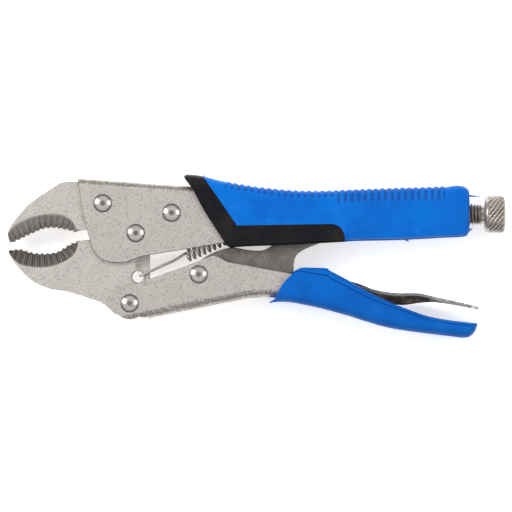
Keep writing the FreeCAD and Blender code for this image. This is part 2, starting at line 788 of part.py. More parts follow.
def make_return_spring():
    """Extension spring: a hooked front leg, the coil's outer cylinder and a short rear leg."""
    wire = value("spring_wire_radius")
    coil = value("spring_coil_radius")
    hole = spot(near("spring_hole"))
    anchor = spot(near("spring_anchor"))
    along = anchor - hole
    reach = along.Length
    along.normalize()
    lift = Vector(0, 0, value("spring_web_half_thickness") + 1.3 * wire)
    hook = hole + along * (value("spring_hole_radius") - 1.7 * wire)
    coil_start = hole + along * value("spring_front_leg")
    coil_end = hole + along * (reach - value("spring_rear_leg"))
    tube = Part.makeCylinder(coil, (coil_end - coil_start).Length, coil_start, along)
    shape = tube.fuse([
        rod_between(hook + lift, coil_start + lift * 0.7 + along, wire),
        rod_between(hook + lift, hook - lift, wire),
        rod_between(coil_end - along, anchor - along * 1.2 * wire, wire),
    ])
    return new_feature("return_spring", shape.removeSplitter())


# ------------------------------------------------------------------ moulded grips

BAND_TOP = near("nose", -11.3, -3.5)
BAND_CORNER = near("nose", -7.2, -5.3)
BAND_END = near("nose", -5.0, -8.6)
BAND_FOOT = near("nose", -4.85, -11.55)
SEAM_TOP = near("rear_rivet", 14.1, 16.6)
SEAM_BEND = near("rear_rivet", 29.4, -5.7)
SEAM = [SEAM_TOP, SEAM_BEND, BAND_TOP, BAND_CORNER, BAND_END, BAND_FOOT]
GRIP_TOP_LINE = [
    SEAM_TOP,
    near("rear_rivet", 23.1, 14.0),
    near("rear_rivet", 36.5, 11.6),
    near("nose", -36.5, 11.95),
    near("nose", -25.0, 11.05),
    near("nose", 7.6, 11.95),
    ("channel_rear_x - 7.6", "screw_axis_y + 12.1"),
    ("channel_rear_x - 1.9", "screw_axis_y + 13.0"),
    ("channel_rear_x + 1.9", "screw_axis_y + 12.5"),
]
GRIP_REAR_LINE = [
    (GRIP_REAR, "screw_axis_y + 10.5"),
    (GRIP_REAR, "screw_axis_y - 7.5"),
    ("channel_rear_x + 1.9", "screw_axis_y - 10.25"),
    near("nose", 26.4, -10.65),
]
COLLAR_LINE = [
    near("nose", -33.75, -13.25),
    near("nose", -38.45, -13.85),
    near("rear_rivet", 30.9, -15.3),
    near("rear_rivet", 26.1, -15.8),
    near("rear_rivet", 23.5, -12.8),
    near("rear_rivet", 14.5, 1.3),
    near("rear_rivet", 9.6, 10.3),
    near("rear_rivet", 5.9, 15.6),
    near("rear_rivet", 5.5, 16.6),
    near("rear_rivet", 7.0, 17.4),
]


def hollow_grip(body):
    """Cut the channel's room and the link's slot out of a grip piece."""
    cut_outline(body, "channel_room", CHANNEL_OUTLINE, OUTER_WIDTH)
    slot = [
        ("rear_rivet_x", "nose_y - 30"),
        ("nose_x + 6", "nose_y - 30"),
        ("nose_x + 6", "nose_y"),
        ("rear_rivet_x", "nose_y"),
    ]
    cut_outline(body, "link_slot", slot, "inner_width")


def make_upper_grip():
    """Blue moulding over the upper channel, from the seam to the rear wall."""
    body = new_body("upper_grip")
    outline = GRIP_TOP_LINE + GRIP_REAR_LINE + SEAM[:0:-1]
    pad_outline(body, "outline", outline, GRIP_WIDTH)
    rounded = GRIP_TOP_LINE + GRIP_REAR_LINE
    add_fillet(body, "edges", rim_edges(body, rounded, GRIP_WIDTH), "grip_edge_radius")
    hollow_grip(body)
    sketch = new_sketch(body, "screw_hole", "YZ_Plane")
    add_circle(sketch, ("screw_axis_y", "0"), "thread_radius + grip_screw_clearance")
    add_pocket(body, sketch, "4 * channel_rear_x")
    return body


def make_upper_grip_insert():
    """Near-black soft moulding: a collar at the front and a band along the underside."""
    body = new_body("upper_grip_insert")
    pad_outline(body, "outline", SEAM + COLLAR_LINE, GRIP_WIDTH)
    hollow_grip(body)
    return body


SLEEVE_OUTLINE = [
    near("lever_pivot", -13.7, -8.3),
    near("lever_pivot", -4.0, -8.2),
    near("lever_pivot", 7.7, -10.5),
    near("lever_pivot", 20.6, -13.9),
    near("lever_pivot", 39.5, -19.5),
    near("lever_pivot", 52.5, -21.6),
    near("sleeve_rear", -12.1, -5.6),
    near("sleeve_rear", -6.1, -6.3),
    near("sleeve_rear", -1.9, -4.5),
    near("sleeve_rear"),
    near("sleeve_rear", -12.1, 1.5),
    near("sleeve_rear", -22.9, 3.7),
    near("lever_pivot", 44.7, -9.8),
    near("lever_pivot", 26.8, -1.1),
    near("lever_pivot", 13.7, 6.1),
    near("lever_pivot", 12.0, 7.2),
    near("lever_pivot", 0.8, 7.6),
    near("lever_pivot", -2.5, 5.9),
    near("lever_pivot", -8.3, -0.6),
    near("lever_pivot", -10.9, -6.2),
]


def make_lower_sleeve():
    """Blue moulding over the lower handle's sides and bottom, open along its top."""
    body = new_body("lower_sleeve")
    pad_outline(body, "outline", SLEEVE_OUTLINE, GRIP_WIDTH)
    add_fillet(body, "edges", rim_edges(body, SLEEVE_OUTLINE[:18], GRIP_WIDTH), "sleeve_edge_radius")
    cut_outline(body, "handle_room", HANDLE_OUTLINE, OUTER_WIDTH)
    trough = [
        near("lever_pivot", -17.5, -3.0),
        near("lever_pivot", 7.7, -5.0),
        near("lever_pivot", 28.5, -10.5),
        near("lever_pivot", 52.5, -16.5),
        ("sleeve_rear_x - 8.1", "sleeve_rear_y - 1.6"),
        ("sleeve_rear_x - 8.1", "lever_pivot_y + 20"),
        near("lever_pivot", -17.5, 20.0),
    ]
    cut_outline(body, "trough", trough, "inner_width")
    return body


# ------------------------------------------------------------------ build, check and write

def main():
    """Build every piece, check it and write its STEP file."""
    make_upper_channel()
    make_upper_jaw()
    make_lower_jaw()
    make_lower_handle()
    for node, anchor in (("upper_jaw_front_rivet", "front_rivet"),
                         ("upper_jaw_rear_rivet", "rear_rivet"),
                         ("jaw_pivot_rivet", "jaw_pivot"),
                         ("handle_pivot_rivet", "handle_pivot"),
                         ("link_pivot_rivet", "link_pivot")):
        make_rivet(node, anchor)
    make_release_lever_pin()
    make_toggle_link()
    make_release_lever()
    make_adjusting_screw()
    make_screw_knob()
    make_threaded_end_block()
    make_return_spring()
    make_upper_grip()
    make_upper_grip_insert()
    make_lower_sleeve()
    document.recompute()
    for item in document.Objects:
        if "Invalid" in item.State or "Error" in item.State:
            raise RuntimeError(f"{item.Name} failed: {item.State}")
    pieces = [item for item in document.RootObjects if hasattr(item, "Shape")]
    for piece in pieces:
        shape = piece.Shape
        if shape.isNull() or not shape.isValid() or not shape.Solids:
            raise RuntimeError(f"{piece.Label} has no valid solid")
    os.makedirs("parts", exist_ok=True)
    for piece in pieces:
        piece.Shape.exportStep(os.path.join("parts", f"{piece.Label}.step"))
        print(f"{piece.Label}: {piece.Shape.Volume:.0f} mm3, {len(piece.Shape.Solids)} solid")


main()
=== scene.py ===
# %% [markdown]
# # Locking pliers, dressed around their CAD frame
# The tool lies on its side. X runs from the jaws to the knurled knob, Y from the lower handle to
# the upper one, and Z up through its thickness. The frame holds every piece at its real place and
# says which body it moves with. This lesson gives each piece the surface that the real one has:
# shot-blasted nickel, polished rivets, moulded plastic, a real thread and a real coil spring.

# %% Load the frame
import math

import bmesh
import bpy
import numpy as np
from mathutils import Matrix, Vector


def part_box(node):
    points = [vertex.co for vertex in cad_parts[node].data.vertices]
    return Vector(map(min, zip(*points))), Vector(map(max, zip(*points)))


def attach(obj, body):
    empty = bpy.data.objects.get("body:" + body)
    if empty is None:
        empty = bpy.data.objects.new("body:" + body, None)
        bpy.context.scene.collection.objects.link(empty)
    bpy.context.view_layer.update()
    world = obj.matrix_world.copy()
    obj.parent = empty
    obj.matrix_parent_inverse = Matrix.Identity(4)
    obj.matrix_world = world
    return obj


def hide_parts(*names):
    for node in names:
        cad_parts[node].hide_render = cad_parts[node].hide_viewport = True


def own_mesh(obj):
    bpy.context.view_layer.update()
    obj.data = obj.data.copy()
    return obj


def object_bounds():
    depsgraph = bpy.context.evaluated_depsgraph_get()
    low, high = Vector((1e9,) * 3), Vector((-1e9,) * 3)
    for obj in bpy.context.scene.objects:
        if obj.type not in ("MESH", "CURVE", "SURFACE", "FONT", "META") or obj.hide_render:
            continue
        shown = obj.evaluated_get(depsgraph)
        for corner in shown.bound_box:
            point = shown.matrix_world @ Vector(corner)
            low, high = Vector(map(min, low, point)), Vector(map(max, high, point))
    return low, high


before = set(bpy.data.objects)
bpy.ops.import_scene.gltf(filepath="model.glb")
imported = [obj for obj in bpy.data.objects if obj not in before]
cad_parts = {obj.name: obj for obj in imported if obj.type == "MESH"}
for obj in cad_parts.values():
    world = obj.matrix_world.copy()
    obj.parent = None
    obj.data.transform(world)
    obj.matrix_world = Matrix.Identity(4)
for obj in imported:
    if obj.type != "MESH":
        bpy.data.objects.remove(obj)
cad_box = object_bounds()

MM = 0.001
print("CAD box in millimetres:", [[round(c / MM, 1) for c in corner] for corner in cad_box])

# %% [markdown]
# ## Places taken from the frame
# Every outline below is measured from a rivet, a pin or an end of the frame, in millimetres, so
# nothing has to be fitted afterwards. A rivet's middle is the middle of its box.

# %% Named places


def middle(node):
    """The middle of a node's box in the side view, as x and y in millimetres."""
    low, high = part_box(node)
    return (np.array(low) + np.array(high))[:2] / 2 / MM


def edge(node, axis, end):
    """One side of a node's box in millimetres: axis 0, 1 or 2, end 0 for low and 1 for high."""
    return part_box(node)[end][axis] / MM


FRONT_RIVET = middle("upper_jaw_front_rivet")
REAR_RIVET = middle("upper_jaw_rear_rivet")
JAW_PIVOT = middle("jaw_pivot_rivet")
HANDLE_PIVOT = middle("handle_pivot_rivet")
LINK_PIVOT = middle("link_pivot_rivet")
LEVER_PIN = middle("release_lever_pin")
SCREW_AXIS = middle("adjusting_screw")[1]
CHANNEL_REAR = edge("upper_channel", 0, 1)
GRIP_REAR = edge("upper_grip", 0, 1)
SLEEVE_REAR = edge("lower_sleeve", 0, 1)
FLANK = edge("upper_channel", 2, 1)
GRIP_HALF = edge("upper_grip", 2, 1)
print("pivots:", JAW_PIVOT, HANDLE_PIVOT, LINK_PIVOT, LEVER_PIN)

# %% [markdown]
# ## Camera
# The tool is looked at square from its side, so the camera hangs straight above the middle of its
# box, far enough away for a long lens.

# %% Camera
LENS = 400.0
SENSOR = 36.0
FILLED_SHARE = 0.973
box_middle = (np.array(cad_box[0]) + np.array(cad_box[1])) / 2
picture_width = (cad_box[1][0] - cad_box[0][0]) / FILLED_SHARE
camera_data = bpy.data.cameras.new("side_view")
camera_data.lens = LENS
camera_data.sensor_width = SENSOR
camera_data.clip_end = 100.0
camera = bpy.data.objects.new("side_view", camera_data)
camera.location = (box_middle[0], box_middle[1], picture_width * LENS / SENSOR)
bpy.context.scene.collection.objects.link(camera)
bpy.context.scene.camera = camera
print("camera height in metres:", round(camera.location.z, 3))

# %% [markdown]
# ## Light
# Such a tool is lit in a pale tent. Two soft boxes stand left and right, and their reflections
# show in the rivets. A third hangs overhead; it only brightens, and no metal reflects it.

# %% Light
scene = bpy.context.scene
scene.view_settings.view_transform = "Standard"
world = bpy.data.worlds.new("pale_tent")
scene.world = world
world.use_nodes = True


def add_softbox(name, place, size, watts, colour=(1.0, 1.0, 1.0)):
    """A square area light at a place in metres from the tool's middle, turned towards it."""
    lamp = bpy.data.lights.new(name, "AREA")
    lamp.size = size
    lamp.energy = watts
    lamp.color = colour
    holder = bpy.data.objects.new(name, lamp)
    target = np.array([box_middle[0], box_middle[1], 0.0])
    holder.location = target + np.array(place)
    away = Vector(place)
    holder.rotation_euler = away.to_track_quat("Z", "Y").to_euler()
    scene.collection.objects.link(holder)
    return holder


add_softbox("softbox_left", (-0.75, 0.25, 0.62), 0.5, 3.6)
add_softbox("softbox_right", (0.75, 0.1, 0.62), 0.5, 1.5)
overhead = add_softbox("softbox_top", (-0.15, 0.85, 1.0), 0.45, 11.0)
overhead.visible_glossy = False
print("soft boxes:", [lamp.name for lamp in bpy.data.lights])

# %% [markdown]
# ## Shader sums as Python
# A material is a small piece of arithmetic: speckle times a share plus mottling. The class Value
# wraps one socket, so that such a sum can be written as one, and Paint makes any other node.

# %% Socket arithmetic


class Value:
    """One output of a shader node. Python's operators on it add Math nodes."""

    def __init__(self, paint, socket):
        self.paint = paint
        self.socket = socket

    def _math(self, operation, first, second):
        return self.paint.node("ShaderNodeMath", {"operation": operation}, {0: first, 1: second})

    def __add__(self, other):
        return self._math("ADD", self, other)

    __radd__ = __add__

    def __mul__(self, other):
        return self._math("MULTIPLY", self, other)

    __rmul__ = __mul__

    def __sub__(self, other):
        return self._math("SUBTRACT", self, other)

    def __rsub__(self, other):
        return self._math("SUBTRACT", other, self)

    def __pow__(self, power):
        return self._math("POWER", self, power)


class Paint:
    """A material with one Principled shader. Steady numbers are set on the shader itself."""

    def __init__(self, name, **steady):
        self.material = bpy.data.materials.new(name)
        self.material.use_nodes = True
        self.tree = self.material.node_tree
        self.shader = self.tree.nodes["Principled BSDF"]
        for socket, number in steady.items():
            self.shader.inputs[socket.replace("_", " ")].default_value = number
        self.place = self.node("ShaderNodeTexCoord", {}, {}, "Object")

    def node(self, kind, settings, inputs, output=0):
        """Make one node: its settings first, then its sockets' values or links."""
        made = self.tree.nodes.new(kind)
        for name, setting in settings.items():
            if name == "stops":
                self._set_stops(made.color_ramp.elements, setting)
            else:
                setattr(made, name, setting)
        for name, value in inputs.items():
            if isinstance(value, Value):
                self.tree.links.new(value.socket, made.inputs[name])
            else:
                made.inputs[name].default_value = value
        return Value(self, made.outputs[output])

    @staticmethod
    def _set_stops(elements, stops):
        while len(elements) < len(stops):
            elements.new(1.0)
        for element, (position, shade) in zip(elements, stops):
            element.position = position
            element.color = (*shade, 1.0) if isinstance(shade, tuple) else (shade,) * 3 + (1.0,)

    def noise(self, size, detail=2.0, rough=0.5, stretch=(1.0, 1.0, 1.0), turn=0.0):
        """Noise whose lumps are about size millimetres wide, stretched along the axes."""
        place = self.place
        if stretch != (1.0, 1.0, 1.0) or turn:
            scale = tuple(1.0 / part for part in stretch)
            place = self.node("ShaderNodeMapping", {}, {
                "Vector": place, "Rotation": (0.0, 0.0, turn), "Scale": scale})
        return self.node("ShaderNodeTexNoise", {}, {
            "Vector": place, "Scale": 1.0 / (size * MM), "Detail": detail, "Roughness": rough})

    def step(self, value, low, high):
        """0 below low, 1 above high, with a smooth rise between."""
        return self.node("ShaderNodeMapRange", {"interpolation_type": "SMOOTHSTEP"}, {
            "Value": value, "From Min": low, "From Max": high})

    def blend(self, share, first, second):
        """The first colour where share is 0, the second where it is 1."""
        return self.node("ShaderNodeMix", {"data_type": "RGBA"}, {
            0: share, 6: first if isinstance(first, Value) else (*first, 1.0),
            7: second if isinstance(second, Value) else (*second, 1.0)}, 2)

    def attribute(self, name):
        """A number stored on the mesh's points."""
        return self.node("ShaderNodeAttribute", {"attribute_name": name}, {}, "Fac")

    def feed(self, **links):
        """Link values to the shader's sockets by name."""
        for socket, value in links.items():
            self.tree.links.new(value.socket, self.shader.inputs[socket.replace("_", " ")])

    def bump(self, height, depth, strength=1.0):
        """Raise the surface by height times depth millimetres in the shading."""
        normal = self.node("ShaderNodeBump", {}, {
            "Height": height, "Distance": depth * MM, "Strength": strength}, "Normal")
        self.feed(Normal=normal)

print("shader sums can be written as Python")

# %% [markdown]
# ## The tent's walls
# The tent is a sky that is bright overhead and dim at the horizon, which is what draws a dark
# line along a fold in metal. The camera itself sees one even pale grey in its place.

# %% World shader
sky = world.node_tree
sky.nodes.clear()


def sky_node(kind, **values):
    """One node of the tent's light, with its sockets set by number."""
    made = sky.nodes.new(kind)
    for name, value in values.items():
        made.inputs[name.replace("_", " ")].default_value = value
    return made


SKY_STOPS = [(0.0, 0.30), (0.50, 0.08), (0.66, 0.20), (0.80, 0.70), (0.94, 0.78), (0.99, 0.22)]
direction = sky.nodes.new("ShaderNodeTexCoord")
height = sky.nodes.new("ShaderNodeSeparateXYZ")
share = sky_node("ShaderNodeMapRange", From_Min=-1.0, From_Max=1.0)
ramp = sky.nodes.new("ShaderNodeValToRGB")
Paint._set_stops(ramp.color_ramp.elements, SKY_STOPS)
lit = sky_node("ShaderNodeBackground", Strength=1.0)
plain = sky_node("ShaderNodeBackground", Color=(0.93, 0.93, 0.93, 1.0), Strength=1.0)
path = sky.nodes.new("ShaderNodeLightPath")
mix = sky.nodes.new("ShaderNodeMixShader")
out = sky.nodes.new("ShaderNodeOutputWorld")
for source, target in (
        (direction.outputs["Generated"], height.inputs[0]),
        (height.outputs["Z"], share.inputs["Value"]),
        (share.outputs[0], ramp.inputs[0]),
        (ramp.outputs[0], lit.inputs["Color"]),
        (path.outputs["Is Camera Ray"], mix.inputs[0]),
        (lit.outputs[0], mix.inputs[1]),
        (plain.outputs[0], mix.inputs[2]),
        (mix.outputs[0], out.inputs[0])):
    sky.links.new(source, target)
print("sky stops:", SKY_STOPS)

# %% [markdown]
# ## Finishes
# The sheet and the forgings are shot-blasted and then nickel plated: a pale, slightly warm metal
# with a fine dark speckle, cloudy patches and a few handling scratches. The rivets are polished,
# the pin is left dark, the link's dark tone is partly painted shade, and the grips are moulded
# plastic, which is never quite even: it has clouds, scuffs and a very fine orange-peel skin.

# %% Metal finishes


def nickel_paint(name, bright, dark, speckle_depth, roughness):
    """Blasted nickel: a cloudy tint, darkened by fine speckle and by a few long scratches.

    The fold and valley attributes, where a piece has them, add painted shade on a bend of the
    sheet and in a thread's or knurl's grooves.
    """
    paint = Paint(name, Metallic=0.82, Specular_IOR_Level=0.5)
    clouds = paint.step(paint.noise(9.0, 3.0, 0.6), 0.36, 0.66)
    grain = paint.noise(0.85, 3.0, 0.75)
    specks = paint.step(paint.noise(1.1, 2.0, 0.65), 0.58, 0.70)
    pits = paint.step(paint.noise(2.6, 4.0, 0.75), 0.67, 0.76)
    scratch = paint.step(paint.noise(0.5, 1.0, 0.5, (24.0, 1.0, 1.0), 0.9), 0.715, 0.76)
    scratch = scratch * paint.step(paint.noise(14.0, 1.0), 0.52, 0.60)
    shade = paint.blend(clouds, bright, dark)
    wear_and_shade = specks * speckle_depth + pits * 0.30 + scratch * 0.45
    wear_and_shade = wear_and_shade + (0.52 - grain) * 1.9
    # Painted shade: the fold attribute darkens the sheet's bends, the valley attribute the grooves.
    wear_and_shade = wear_and_shade + paint.attribute("fold") * 0.52 + paint.attribute("valley") * 0.90
    shade = paint.blend(wear_and_shade, shade, (0.105, 0.088, 0.076))
    paint.feed(Base_Color=shade, Roughness=roughness + clouds * 0.08 + specks * 0.10)
    paint.bump(grain - scratch * 0.6 - pits * 0.5, 0.045, 0.55)
    return paint.material


NICKEL = nickel_paint("satin_nickel", (0.86, 0.805, 0.755), (0.74, 0.690, 0.645), 0.42, 0.40)


# A darker nickel for the sheet's rounded edges: painted shade along the edges.
EDGE_SHADE_NICKEL = nickel_paint("painted_edge_shade_nickel", (0.33, 0.30, 0.275), (0.25, 0.225, 0.205), 0.30, 0.45)


def tooth_paint():
    """The jaws' nickel, turning brown and dull where the teeth go through the plating. The cut
    attribute that marks this is partly painted shade: it is darker on the lower jaw and on the
    walls of its recesses and spring hole. The valley attribute is painted shade between the teeth.
    """
    paint = Paint("jaw_nickel", Metallic=0.8)
    clouds = paint.step(paint.noise(8.0, 3.0, 0.6), 0.36, 0.66)
    grain = paint.noise(0.85, 3.0, 0.75)
    specks = paint.step(paint.noise(1.1, 2.0, 0.65), 0.58, 0.70)
    cut = paint.attribute("cut")
    valley = paint.attribute("valley")
    shade = paint.blend(clouds, (0.88, 0.825, 0.775), (0.77, 0.720, 0.675))
    shade = paint.blend(specks * 0.42 + (0.52 - grain) * 1.9, shade, (0.11, 0.092, 0.080))
    # Bare steel where the teeth go through the plating, darker still where painted shade is added.
    shade = paint.blend(cut, shade, (0.29, 0.25, 0.225))
    # Painted shade: near black between the teeth.
    shade = paint.blend(valley * cut * 1.25, shade, (0.035, 0.030, 0.028))
    paint.feed(Base_Color=shade, Roughness=0.42 + cut * 0.10 + clouds * 0.06)
    paint.bump(grain, 0.045, 0.5)
    return paint.material


JAW_NICKEL = tooth_paint()


def rivet_paint():
    """Polished steel with faint turning rings, small dents, and a dark ring where it meets the sheet,
    partly dirt and partly painted shade.
    """
    paint = Paint("polished_rivet_steel", Metallic=1.0)
    dents = paint.noise(2.2, 2.0, 0.5)
    smears = paint.step(paint.noise(3.0, 3.0, 0.6), 0.45, 0.7)
    rim = paint.attribute("rim")
    shade = paint.blend(smears * 0.4, (0.66, 0.635, 0.60), (0.40, 0.375, 0.35))
    # The dark ring at the rim: partly dirt, partly painted shade where the head meets the sheet.
    shade = paint.blend(rim * 0.9, shade, (0.05, 0.045, 0.04))
    paint.feed(Base_Color=shade, Roughness=0.13 + smears * 0.14 + rim * 0.3)
    paint.bump(dents, 0.10, 0.35)
    return paint.material


RIVET_STEEL = rivet_paint()


def dark_steel_paint(name, bright, dark, roughness):
    """Uncoated steel: grey, matt, and mottled by the heat it was hardened with."""
    paint = Paint(name, Metallic=0.75)
    clouds = paint.step(paint.noise(6.0, 3.0, 0.65), 0.35, 0.68)
    grain = paint.noise(0.8, 3.0, 0.75)
    bright_specks = paint.step(paint.noise(1.0, 2.0, 0.6), 0.62, 0.70)
    shade = paint.blend(clouds, bright, dark)
    shade = paint.blend((0.52 - grain) * 2.2, shade, (0.03, 0.027, 0.025))
    shade = paint.blend(bright_specks * 0.35, shade, (0.62, 0.58, 0.54))
    paint.feed(Base_Color=shade, Roughness=roughness + clouds * 0.12)
    paint.bump(grain, 0.05, 0.6)
    return paint.material


# The link's dark colour is partly its steel and partly painted shade, for the recess between the
# channel's sides where it lies.
LINK_STEEL_AND_SHADE = dark_steel_paint("link_steel_and_painted_shade", (0.30, 0.272, 0.250), (0.21, 0.188, 0.172), 0.46)
PIN_STEEL = dark_steel_paint("plain_pin_steel", (0.33, 0.31, 0.29), (0.22, 0.205, 0.19), 0.38)
KNOB_NICKEL = nickel_paint("knurled_nickel", (0.64, 0.58, 0.52), (0.44, 0.39, 0.34), 0.25, 0.28)
SPRING_STEEL = dark_steel_paint("spring_wire_steel", (0.90, 0.86, 0.80), (0.62, 0.58, 0.53), 0.30)


def lever_paint():
    """Rolled steel, dark inside its flanges, pale along its back as a painted highlight and pale over
    its tail.
    """
    paint = Paint("release_lever_steel", Metallic=0.9)
    rubbed = paint.attribute("rubbed")
    patches = paint.step(paint.noise(2.4, 4.0, 0.7), 0.44, 0.62)
    grain = paint.noise(0.6, 2.0, 0.6)
    shade = paint.blend(patches, (0.050, 0.044, 0.040), (0.115, 0.103, 0.095))
    # Painted highlight along the back, and a pale tail.
    shade = paint.blend(rubbed, shade, (0.66, 0.63, 0.60))
    shade = paint.blend(patches * rubbed * 0.60, shade, (0.13, 0.115, 0.105))
    paint.feed(Base_Color=shade, Roughness=0.30 + patches * 0.16)
    paint.bump(grain + patches, 0.05, 0.5)
    return paint.material


LEVER_STEEL = lever_paint()
print("metal finishes:", [material.name for material in bpy.data.materials][-8:])

# %% [markdown]
# ## Plastic finishes
# Both grips are moulded. One recipe serves the blue and the black part, with other colours: slow
# clouds, pale scuffs where a hand rubs, painted shade between ribs and a painted highlight line just
# above the foot.

# %% Plastic finishes


def plastic_paint(name, shades, scuff, deep, pale, roughness, scuff_share):
    """Moulded plastic: cloudy colour, pale scuffs, and a fine skin under the gloss.

    The groove attribute marks painted shade between the ribs, and the mould_line attribute a
    painted highlight line just above the foot.
    """
    paint = Paint(name, IOR=1.5, Specular_IOR_Level=0.16)
    clouds = paint.step(paint.noise(16.0, 3.0, 0.55), 0.34, 0.66)
    patches = paint.step(paint.noise(7.0, 5.0, 0.7), 0.56, 0.72)
    skin = paint.noise(0.7, 2.0, 0.5)
    scrape = paint.step(paint.noise(0.6, 2.0, 0.5, (14.0, 1.0, 1.0), -0.25), 0.68, 0.75)
    scrape = scrape * paint.step(paint.noise(11.0, 1.0), 0.50, 0.62)
    shade = paint.blend(clouds, shades[0], shades[1])
    shade = paint.blend((patches + scrape) * scuff_share, shade, scuff)
    # Painted shade between the ribs and along the sleeve's crease.
    shade = paint.blend(paint.attribute("groove") * 0.72, shade, deep)
    # Painted highlight: a pale line just above the foot.
    shade = paint.blend(paint.attribute("mould_line") * 0.5, shade, pale)
    paint.feed(Base_Color=shade, Roughness=roughness + clouds * 0.08 + patches * 0.07)
    paint.bump(skin + clouds * 2.0 - scrape * 0.6, 0.03, 0.35)
    return paint.material


BLUE = plastic_paint("blue_grip_plastic", ((0.0, 0.133, 0.535), (0.0, 0.103, 0.460)),
                     (0.015, 0.185, 0.62), (0.0, 0.045, 0.22), (0.24, 0.38, 0.72), 0.40, 0.40)
BLACK = plastic_paint("black_grip_plastic", ((0.0080, 0.0080, 0.0105), (0.0155, 0.0135, 0.0140)),
                      (0.050, 0.036, 0.030), (0.002, 0.002, 0.002), (0.10, 0.09, 0.09), 0.36, 0.30)


def floor_paint():
    """Pale seamless sheet of a light table, lit a little from below, with a faint tooth."""
    paint = Paint("pale_light_table", Emission_Color=(1.0, 1.0, 1.0, 1.0), Emission_Strength=0.55)
    tooth = paint.noise(3.0, 3.0, 0.6)
    shade = paint.blend(tooth, (0.90, 0.90, 0.90), (0.915, 0.915, 0.915))
    paint.feed(Base_Color=shade, Roughness=0.85 + tooth * 0.1)
    return paint.material
print("plastic finishes:", BLUE.name, BLACK.name)

# %% [markdown]
# ## From arrays to meshes
# A surface is an array of rows, each row a loop or a line of points, so its faces follow from the
# array's size alone. Closed loops are capped with one flat face at each end, and points that fall
# together at a pole are merged.

# %% Mesh helpers
SHARP_ANGLE = math.radians(34)


def grid_faces(rows, columns, start=0):
    """Four-cornered faces between neighbouring rows, each row closed on itself."""
    index = start + np.arange(rows * columns).reshape(rows, columns)
    ahead = np.roll(index, -1, axis=1)
    return np.stack([index[:-1], ahead[:-1], ahead[1:], index[1:]], axis=-1).reshape(-1, 4)


def surface(name, shells, finish, layers=None):
    """A mesh of closed shells. A shell is rows of looped points in millimetres, capped at both ends."""
    points, faces = [], []
    start = 0
    for shell in shells:
        rows, columns = shell.shape[:2]
        points.append(shell.reshape(-1, 3))
        faces += grid_faces(rows, columns, start).tolist()
        faces.append(list(range(start + columns - 1, start - 1, -1)))
        faces.append(list(range(start + (rows - 1) * columns, start + rows * columns)))
        start += rows * columns
    mesh = bpy.data.meshes.new(name)
    mesh.from_pydata(np.vstack(points) * MM, [], faces)
    for layer, numbers in (layers or {}).items():
        stored = mesh.attributes.new(layer, "FLOAT", "POINT")
        stored.data.foreach_set("value", np.asarray(numbers, np.float32).ravel())
    return finished(name, mesh, finish)


def finished(name, mesh, finish):
    """Merge points that coincide, turn the faces outwards, smooth the soft edges, add the finish."""
    work = bmesh.new()
    work.from_mesh(mesh)
    bmesh.ops.remove_doubles(work, verts=work.verts, dist=2e-6)
    bmesh.ops.recalc_face_normals(work, faces=work.faces)
    work.to_mesh(mesh)
    work.free()
    mesh.shade_smooth()
    mesh.set_sharp_from_angle(angle=SHARP_ANGLE)
    mesh.materials.append(finish)
    piece = bpy.data.objects.new(name, mesh)
    scene.collection.objects.link(piece)
    print(f"{name}: {len(mesh.vertices)} points, {len(mesh.polygons)} faces")
    return piece


def soften(piece, width, angle=40.0):
    """Round a piece's sharp edges by width millimetres, and keep its flats looking flat."""
    bevel = piece.modifiers.new("softened_edges", "BEVEL")
    bevel.width = width * MM
    bevel.segments = 2
    bevel.limit_method = "ANGLE"
    bevel.angle_limit = math.radians(angle)
    bevel.harden_normals = True
    return piece


def fitted(piece, body, node):
    """Let a piece ride on its body and stand for its CAD node."""
    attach(piece, body)
    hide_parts(node)
    print(f"{piece.name}: {len(piece.data.polygons)} faces, rides on {body}")
    return piece


# %% [markdown]
# ## Lines in the side view
# An outline is a few points that a smooth curve runs through. The curve is the usual Catmull-Rom
# one: it passes each point in the direction from the point before to the point after.

# %% Line helpers


def evenly(path, count):
    """Points at equal steps of length along a broken line."""
    run = np.concatenate([[0.0], np.cumsum(np.linalg.norm(np.diff(path, axis=0), axis=1))])
    wanted = np.linspace(0.0, run[-1], count)
    return np.stack([np.interp(wanted, run, axis) for axis in path.T], axis=1)


def smooth_line(given, count, closed=False):
    """Even points on the cubic through the given ones whose slopes join their neighbours."""
    given = np.asarray(given, float)
    if closed:
        ends = np.vstack([given[-1:], given, given[:2]])
    else:
        ends = np.vstack([2 * given[0] - given[1], given, 2 * given[-1] - given[-2]])
    share = np.linspace(0.0, 1.0, 24, endpoint=False)[:, None]
    before, here, after, beyond = (ends[shift:len(ends) - 3 + shift, None] for shift in range(4))
    bend = 2 * before - 5 * here + 4 * after - beyond
    twist = 3 * (here - after) + beyond - before
    curve = here + 0.5 * share * ((after - before) + share * (bend + share * twist))
    curve = curve.reshape(-1, given.shape[1])
    last = given[:1] if closed else given[-1:]
    line = evenly(np.vstack([curve, last]), count + 1 if closed else count)
    return line[:-1] if closed else line


def height_on(line, x):
    """The height of a line at each x, where the line runs from left to right."""
    return np.interp(x, line[:, 0], line[:, 1])


def rise(value, low, high):
    """0 below low, 1 above high, with a smooth rise between."""
    share = np.clip((value - low) / (high - low), 0.0, 1.0)
    return share * share * (3 - 2 * share)


def outward(loop):
    """Unit normals of a closed loop of side-view points that runs anticlockwise."""
    along = np.roll(loop, -1, axis=0) - np.roll(loop, 1, axis=0)
    along /= np.linalg.norm(along, axis=1, keepdims=True) + 1e-12
    return np.stack([along[:, 1], -along[:, 0]], axis=1)


def anticlockwise(loop):
    """The same loop, turned round if it runs clockwise."""
    ahead = np.roll(loop, -1, axis=0)
    area = np.sum(loop[:, 0] * ahead[:, 1] - ahead[:, 0] * loop[:, 1])
    return loop if area > 0 else loop[::-1]


EDGE_TURNS = np.radians([0.0, 22.5, 45.0, 67.5, 90.0])


